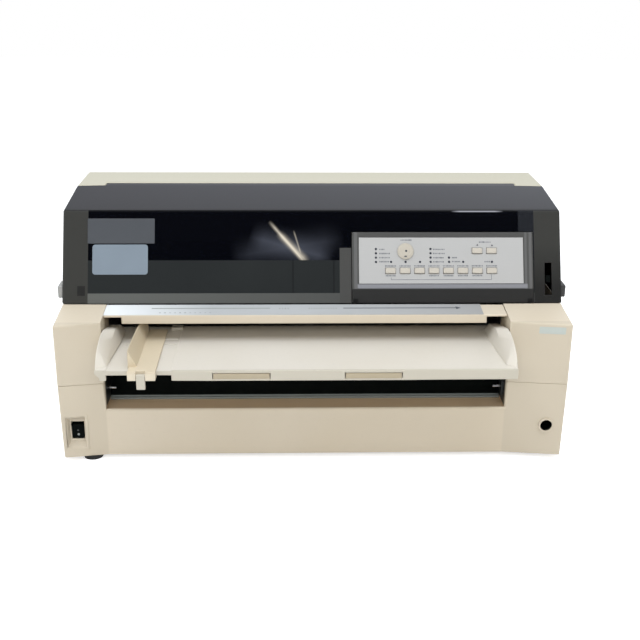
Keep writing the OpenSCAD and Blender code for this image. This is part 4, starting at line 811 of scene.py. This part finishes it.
make_label("blank_name_plate", "front_cover", dull("label_plate", colour(70, 73, 77), 0.4, 0.08),
           (-258.5, -182.2, 69.9, 98.9, 0.8), 0.6, on_face, 0.15)
make_label("blank_cover_sticker", "front_cover", paper("pale_blue_sticker", colour(120, 132, 142)),
           (-253.0, -189.8, 34.1, 68.8, 3.4), 0.2, on_face)
make_label("blank_pod_label", "upper_case", paper("pale_pod_label", colour(186, 193, 186)),
           (250.4, 279.3, 154.2, 162.4, 0.8), 0.2, on_right_pod)

# %% [markdown]
# ## One node group for rows and rings
# Printed words, lamps, knurls and ticks repeat one small shape. A Geometry Nodes group lays
# the copies: a line of points gives a row, and a line of no length with a turn for each copy
# gives a ring. Each copy can differ a little in size, from a fixed seed. The group is run
# once and its result becomes a plain mesh.

# %% Rows and rings
def tools_for(tree):
    """Two short ways to build a tree: make a node, and join two sockets."""
    def node(kind, **settings):
        made = tree.nodes.new(kind)
        for key, value in settings.items():
            setattr(made, key, value)
        return made

    def join(a, out, b, into):
        tree.links.new(a.outputs[out], b.inputs[into])

    return node, join


def number_socket(sockets, name):
    """Of the sockets with this name, the one for plain numbers."""
    return [s for s in sockets if s.name == name and s.type == "VALUE"][0]


def make_repeat_group():
    group = bpy.data.node_groups.new("repeat_a_shape", "GeometryNodeTree")
    group.is_modifier = True
    group.interface.new_socket("Geometry", in_out="INPUT", socket_type="NodeSocketGeometry")
    for name, kind in (("Shape", "Object"), ("Count", "Int"), ("Start", "Vector"), ("Step", "Vector"),
                       ("Turn", "Vector"), ("Unevenness", "Float"), ("Seed", "Int"),
                       ("Material", "Material")):
        group.interface.new_socket(name, in_out="INPUT", socket_type="NodeSocket" + kind)
    group.interface.new_socket("Geometry", in_out="OUTPUT", socket_type="NodeSocketGeometry")

    node, join = tools_for(group)
    given, result = node("NodeGroupInput"), node("NodeGroupOutput")
    line = node("GeometryNodeMeshLine", mode="OFFSET")
    join(given, "Count", line, "Count")
    join(given, "Start", line, "Start Location")
    join(given, "Step", line, "Offset")
    shape = node("GeometryNodeObjectInfo")
    join(given, "Shape", shape, "Object")
    shape.inputs["As Instance"].default_value = True
    turn = node("ShaderNodeVectorMath", operation="SCALE")
    join(given, "Turn", turn, 0)
    join(node("GeometryNodeInputIndex"), "Index", turn, "Scale")
    spread = node("FunctionNodeRandomValue", data_type="FLOAT")
    for name, operation in (("Min", "SUBTRACT"), ("Max", "ADD")):
        bound = node("ShaderNodeMath", operation=operation)
        bound.inputs[0].default_value = 1.0
        join(given, "Unevenness", bound, 1)
        group.links.new(bound.outputs[0], number_socket(spread.inputs, name))
    join(given, "Seed", spread, "Seed")
    copies = node("GeometryNodeInstanceOnPoints")
    join(line, "Mesh", copies, "Points")
    join(shape, "Geometry", copies, "Instance")
    join(turn, 0, copies, "Rotation")
    group.links.new(number_socket(spread.outputs, "Value"), copies.inputs["Scale"])
    real, paint = node("GeometryNodeRealizeInstances"), node("GeometryNodeSetMaterial")
    join(copies, "Instances", real, "Geometry")
    join(real, "Geometry", paint, "Geometry")
    join(given, "Material", paint, "Material")
    join(paint, "Geometry", result, "Geometry")
    return group


REPEAT = make_repeat_group()
SOCKET = {s.name: s.identifier for s in REPEAT.interface.items_tree if s.in_out == "INPUT"}


def repeated(shape_mesh, count, start, finish, step=(0, 0, 0), turn=0.0, unevenness=0.0, seed=1):
    """Runs the group once and hands back a plain mesh; `turn` is in degrees round Z."""
    pattern = bpy.data.objects.new("pattern", shape_mesh)
    carrier = bpy.data.objects.new("carrier", bpy.data.meshes.new("carrier"))
    for one in (pattern, carrier):
        bpy.context.scene.collection.objects.link(one)
    rows = carrier.modifiers.new("rows", "NODES")
    rows.node_group = REPEAT
    for name, value in (("Shape", pattern), ("Count", count), ("Start", tuple(start)),
                        ("Step", tuple(step)), ("Turn", (0.0, 0.0, math.radians(turn))),
                        ("Unevenness", float(unevenness)), ("Seed", seed),
                        ("Material", finish.material)):
        rows[SOCKET[name]] = value
    mesh = bpy.data.meshes.new_from_object(carrier.evaluated_get(bpy.context.evaluated_depsgraph_get()))
    carrier.modifiers.remove(rows)
    spare = carrier.data
    for one in (carrier, pattern):
        bpy.data.objects.remove(one)
    bpy.data.meshes.remove(spare)
    return mesh


print("inputs of the group:", sorted(SOCKET))

# %% [markdown]
# ## Print on the operator panel
# The silver overlay carries rows of small grey print. At this size words are only short
# uneven strokes, so each word is a row of plain bars. Under the keys a thin bracket joins
# the first and the last key, and two small arrows point at the upper keys.

# %% Panel print
INK_N, INK_THICK = 0.8, 0.05


def ink(name, base):
    """Screen printing ink: matte, with a faintly uneven coat."""
    finish = Finish(name, base, 0.6)
    coat = finish.noise(700.0, 3.0)
    finish.set(Base_Color=finish.blend(shade_of(base, 0.85), shade_of(base, 1.2), coat),
               Roughness=0.5 + coat * 0.2)
    return finish.bump(coat, 0.00001, 0.3)


grey_ink, dark_ink = ink("grey_ink", colour(100, 103, 108)), ink("dark_ink", colour(66, 68, 74))


def stroke(width, height, low, high, along):
    """One small bar round its own middle, as a mesh to be repeated."""
    shape = Builder()
    shape.bar(-width / 2, width / 2, -height / 2, height / 2, low, high, along)
    return shape.mesh("stroke")


def word(x0, x1, s, seed, height=1.5, width=1.0, pitch=1.55, at=on_face, along=along_face, lift=INK_N):
    """Print between two places, as a row of uneven strokes."""
    count = max(1, round((x1 - x0) / pitch))
    gap = (x1 - x0 - width) / max(1, count - 1)
    return repeated(stroke(width, height, 0.0, INK_THICK, along), count, at(x0 + width / 2, s, lift),
                    grey_ink, along(gap, 0, 0), unevenness=0.18, seed=seed)


KEY_XS = [88.9 + 16.75 * k for k in range(8)]
WORDS = [(100.8, 113.3, 73.6), (76.1, 82.0, 62.8), (76.1, 88.1, 58.0), (76.1, 88.0, 53.2),
         (76.1, 87.0, 48.5), (138.5, 151.6, 62.8), (138.5, 151.6, 58.0), (138.5, 150.5, 53.1),
         (138.5, 150.5, 48.3), (160.2, 165.9, 53.1), (160.2, 169.7, 48.6), (198.0, 204.0, 48.4),
         (191.9, 205.4, 71.2)]
WORDS += [(x - 6.3, x + 6.3, 43.6) for x in KEY_XS]
WORDS += [(KEY_XS[k] - 5.5, KEY_XS[k] + 5.5, 32.2) for k in (0, 3, 4, 5, 6)]
panel_words = Builder()
for number, (x0, x1, s) in enumerate(WORDS):
    panel_words.take(word(x0, x1, s, seed=number + 1))
BRACKET = ((89.7, 205.8, 27.4, 27.9), (89.4, 89.9, 27.4, 30.3), (205.5, 206.0, 27.4, 33.7))
for x0, x1, s0, s1 in BRACKET:
    panel_words.bar(x0, x1, s0, s1, INK_N, INK_N + INK_THICK, on_face)
panel_words.piece("panel_print", "panel_overlay", grey_ink)

panel_arrows = Builder()
for x, s in ((189.9, 68.1), (206.9, 67.6)):
    head = [(x - 1.3, s - 1.0), (x + 1.3, s - 1.0), (x, s + 1.2)]
    panel_arrows.prism(head, INK_N, INK_N + INK_THICK, on_face)
panel_arrows.piece("panel_arrows", "panel_overlay", dark_ink)

# %% [markdown]
# ## Lamps and the dial
# Each lamp gets a small smoked lens, turned from a profile. The dial is turned too: a base
# with knurls round its rim, a raised step and a hub, with a dark pointer on the step.

# %% Lamps
lens_finish = Finish("smoked_lens", colour(58, 60, 68), 0.2)
lens_cloud = lens_finish.noise(400.0)
lens_finish.set(Base_Color=lens_finish.blend(colour(44, 46, 54), colour(74, 76, 84), lens_cloud),
                Roughness=0.16 + lens_cloud * 0.15)

LAMP_COLUMNS = [(72.2, 4), (89.6, 1), (106.4, 1), (123.2, 1),
                (135.4, 4), (156.8, 2), (173.2, 1), (206.5, 1)]
LAMP_S, LAMP_PITCH = 48.3, 5
lenses = Builder()
for x, count in LAMP_COLUMNS:
    lens = Builder()
    lens.lathe([(1.25, 0.0), (1.2, 0.12), (0.9, 0.24), (0.4, 0.3)], (0, 0), along_face, 14)
    lenses.take(repeated(lens.mesh("lens"), count, on_face(x, LAMP_S, INK_N), lens_finish,
                         along_face(0, LAMP_PITCH, 0)))
lenses.piece("lamp_lenses", "indicator_board", lens_finish)

# %% Dial
DIAL_X, DIAL_S, KNURLS = 106.3, 60.5, 40


def flat(x, y, n):
    """A place on a shape made round the origin and moved later."""
    return Vector((x, y, n)) * MM


def onto_dial():
    """Moves a shape made flat round the origin onto the dial's axis."""
    ways = [along_face(1, 0, 0), along_face(0, 1, 0), along_face(0, 0, 1)]
    axes = Matrix(ways).transposed() * (1 / MM)
    return Matrix.Translation(on_face(DIAL_X, DIAL_S, 0)) @ axes.to_4x4()


dial = Builder()
dial.lathe([(2.9, -16.9), (2.9, 1.15), (9.2, 1.15), (9.3, 1.4), (9.3, 2.1), (8.9, 2.5), (7.7, 2.6),
            (7.4, 3.0), (7.0, 3.1), (4.9, 3.1), (4.7, 3.35), (4.4, 3.48), (0.05, 3.48)],
           (0, 0), flat, 56)
rib = Builder()
rib.bar(9.2, 9.46, -0.22, 0.22, 1.3, 2.2, flat)
dial_tone = moulded("dial_plastic", colour(184, 178, 165), 0.35)
dial.take(repeated(rib.mesh("rib"), KNURLS, (0, 0, 0), dial_tone, turn=360 / KNURLS))
dial_mesh = dial.mesh("mode_dial_turned")
dial_mesh.transform(onto_dial())
finished_piece("mode_dial_turned", dial_mesh, "mode_dial", dial_tone, instead=True)

pointer = Builder()
pointer.prism([(-1.7, -6.8), (-1.0, -5.2), (1.0, -5.2), (1.7, -6.8)], 3.08, 3.14, flat)
pointer.lathe([(1.3, 3.46), (1.3, 3.5)], (0.6, 0.2), flat, 20)
pointer_mesh = pointer.mesh("dial_marks")
pointer_mesh.transform(onto_dial())
finished_piece("dial_marks", pointer_mesh, "mode_dial", dark_ink)

# %% [markdown]
# ## Print on the scale strip
# The strip on the front bar has a long fading line, an arrow to the right, and rows of small
# plain marks for the places of the columns. Strip and overlay are the same film, so their tones
# are painted light: the strip is painted bright at the left and darker to the right, and the
# overlay is painted darker as shade, as it is turned away from the light.

# %% Scale print
SCALE_WORDS = ((-39.2, -28.7, 44.6, 3.0, 1.1, 2.6), (-5.6, 25.9, 44.6, 3.0, 1.1, 2.6),
               (-174.0, -116.0, 34.0, 1.6, 1.6, 5.2))
strip_marks, strip_arrow = Builder(), Builder()
strip_marks.bar(-183.7, -49.7, 44.1, 46.3, 0.0, INK_THICK, on_strip)
for number, (x0, x1, y, height, width, pitch) in enumerate(SCALE_WORDS):
    strip_marks.take(word(x0, x1, y, 60 + number, height, width, pitch, on_strip, along_strip, 0.0))
strip_arrow.bar(33.5, 164.0, 44.3, 46.0, 0.0, INK_THICK, on_strip)
strip_arrow.prism([(162.5, 41.6), (168.0, 45.1), (162.5, 48.6)], 0.0, 0.06, on_strip)
strip_marks.piece("scale_marks", "scale_strip", ink("pale_ink", colour(150, 155, 152)))
strip_arrow.piece("scale_arrow", "scale_strip", ink("arrow_ink", colour(70, 74, 80)))

# %% Film tones
BELOW_OVERLAY_Z = 175.0


def tone_the_film():
    film = finishes["silver_film"]
    x, y, z = film.millimetres()
    on_bar = 1 - z.over(BELOW_OVERLAY_Z)
    # Painted light on one film: bright at the strip's left, darker to its right, darker on the overlay.
    film.paint_over(colour(236, 240, 239), (1 - x.over(-170.0, 110.0)) * on_bar * 0.9)
    film.paint_over(colour(158, 158, 156), x.over(90.0, 220.0) * on_bar)
    film.paint_over(colour(171, 170, 167), (1 - on_bar) * 0.8)


tone_the_film()
print("nodes in the film's finish:", len(finishes["silver_film"].tree.nodes))

# %% [markdown]
# ## Rocker dots and hinge ticks
# The rocker has two small moulded dots. Along the hinge at the cover's back, a row of thin
# ticks shows the ribs inside.

# %% Dots and ticks
ROCKER_X, ROCKER_Y, ROCKER_Z, ROCKER_LEAN = -269.85, 20.0, 35.3, math.radians(6.0)
ROCKER_FACE, ROCKER_BULGE, ROCKER_HALF = -9.4, 1.4, 9.2
TICKS, TICK_STEP, FIRST_TICK = 17, 28.8, (-230.4, 196.0, 278.95)


def on_rocker(u, v, n):
    """u across and v up from the middle of the rocker's face, n out of it."""
    y = ROCKER_FACE - ROCKER_BULGE * abs(v) / ROCKER_HALF - n
    return spot(ROCKER_X + u, ROCKER_Y + y * math.cos(ROCKER_LEAN) - v * math.sin(ROCKER_LEAN),
                ROCKER_Z + y * math.sin(ROCKER_LEAN) + v * math.cos(ROCKER_LEAN))


def make_dot(name, profile, centre, tone):
    dot = Builder()
    dot.lathe(profile, centre, on_rocker, 20)
    dot.piece(name, "power_rocker", tone)


make_dot("rocker_dot", [(1.35, -0.1), (1.3, 0.12), (1.0, 0.16)], (0.4, -4.2),
         ink("dot_ink", colour(150, 152, 150)))
make_dot("rocker_faint_dot", [(1.2, -0.1), (1.15, 0.1), (0.9, 0.13)], (0.0, 0.9),
         ink("faint_ink", colour(74, 76, 76)))

ticks, tick = Builder(), Builder()
tick.bar(-0.5, 0.5, -4.0, 4.0, 0.0, 0.045, flat)
ticks.take(repeated(tick.mesh("tick"), TICKS, spot(*FIRST_TICK), dark_ink, flat(TICK_STEP, 0, 0)))
ticks.piece("hinge_ticks", "front_cover", ink("tick_ink", colour(22, 23, 24)))

# %% [markdown]
# ## Stage and light
# A white floor, and a world that is white where the camera looks. Soft lamps stand above
# the printer, in front of it and at both sides. In front, behind the camera, the room is
# darker: that is what a polished dark window reflects.

# %% Floor and world
def make_floor():
    bpy.ops.mesh.primitive_plane_add(size=8.0, location=(0.0, 0.0, 0.0))
    floor = bpy.context.object
    floor.name = "floor"
    white = Finish("white_floor", (0.8, 0.8, 0.8, 1.0), 0.9, Specular_IOR_Level=0.0,
                   Emission_Color=(1.0, 1.0, 1.0, 1.0))
    white.set(Emission_Strength=white.add("ShaderNodeLightPath", output="Is Camera Ray") * 0.55)
    floor.data.materials.append(white.material)


def make_world():
    world = bpy.data.worlds.new("studio")
    bpy.context.scene.world = world
    world.use_nodes = True
    world.node_tree.nodes.clear()
    node, join = tools_for(world.node_tree)
    parts, front, ramp = (node("ShaderNode" + kind) for kind in ("SeparateXYZ", "MapRange", "ValToRGB"))
    front.inputs["From Min"].default_value = -1.0
    dark_end, light_end = ramp.color_ramp.elements
    dark_end.position, dark_end.color = 0.06, (0.03, 0.032, 0.036, 1.0)
    light_end.position, light_end.color = 0.62, (0.86, 0.88, 0.9, 1.0)
    join(node("ShaderNodeTexCoord"), "Generated", parts, 0)
    join(parts, "Y", front, "Value")
    join(front, "Result", ramp, "Fac")
    mix, background = node("ShaderNodeMix", data_type="RGBA"), node("ShaderNodeBackground")
    mix.inputs[7].default_value = (1.0, 1.0, 1.0, 1.0)
    join(node("ShaderNodeLightPath"), "Is Camera Ray", mix, 0)
    join(ramp, "Color", mix, 6)
    join(mix, 2, background, "Color")
    join(background, 0, node("ShaderNodeOutputWorld"), "Surface")


# %% Studio lamps
MIDDLE = Vector((0.0, 0.0, 0.15))


def soft_lamp(name, place, size, watts, tint=(1.0, 0.985, 0.96), mirrored=True):
    """A wide lamp that shines at the middle of the printer and stays unseen."""
    data = bpy.data.lights.new(name, "AREA")
    data.shape = "RECTANGLE"
    data.size, data.size_y = size
    data.energy = watts
    data.color = tint
    lamp = bpy.data.objects.new(name, data)
    bpy.context.scene.collection.objects.link(lamp)
    lamp.location = place
    lamp.rotation_euler = (MIDDLE - Vector(place)).to_track_quat("-Z", "Y").to_euler()
    lamp.visible_camera = False
    lamp.visible_glossy = mirrored


bpy.context.scene.view_settings.view_transform = "Standard"
make_floor()
make_world()
soft_lamp("lamp_above", (-0.2, -0.85, 2.5), (2.6, 1.8), 40.0, (0.99, 1.035, 1.14), False)
soft_lamp("lamp_front", (0.0, -2.4, 1.3), (2.8, 0.8), 30.0, mirrored=False)
soft_lamp("lamp_left", (-2.2, -1.1, 1.2), (1.2, 1.6), 9.0)
soft_lamp("lamp_right", (2.2, -0.9, 1.2), (1.2, 1.6), 8.0)
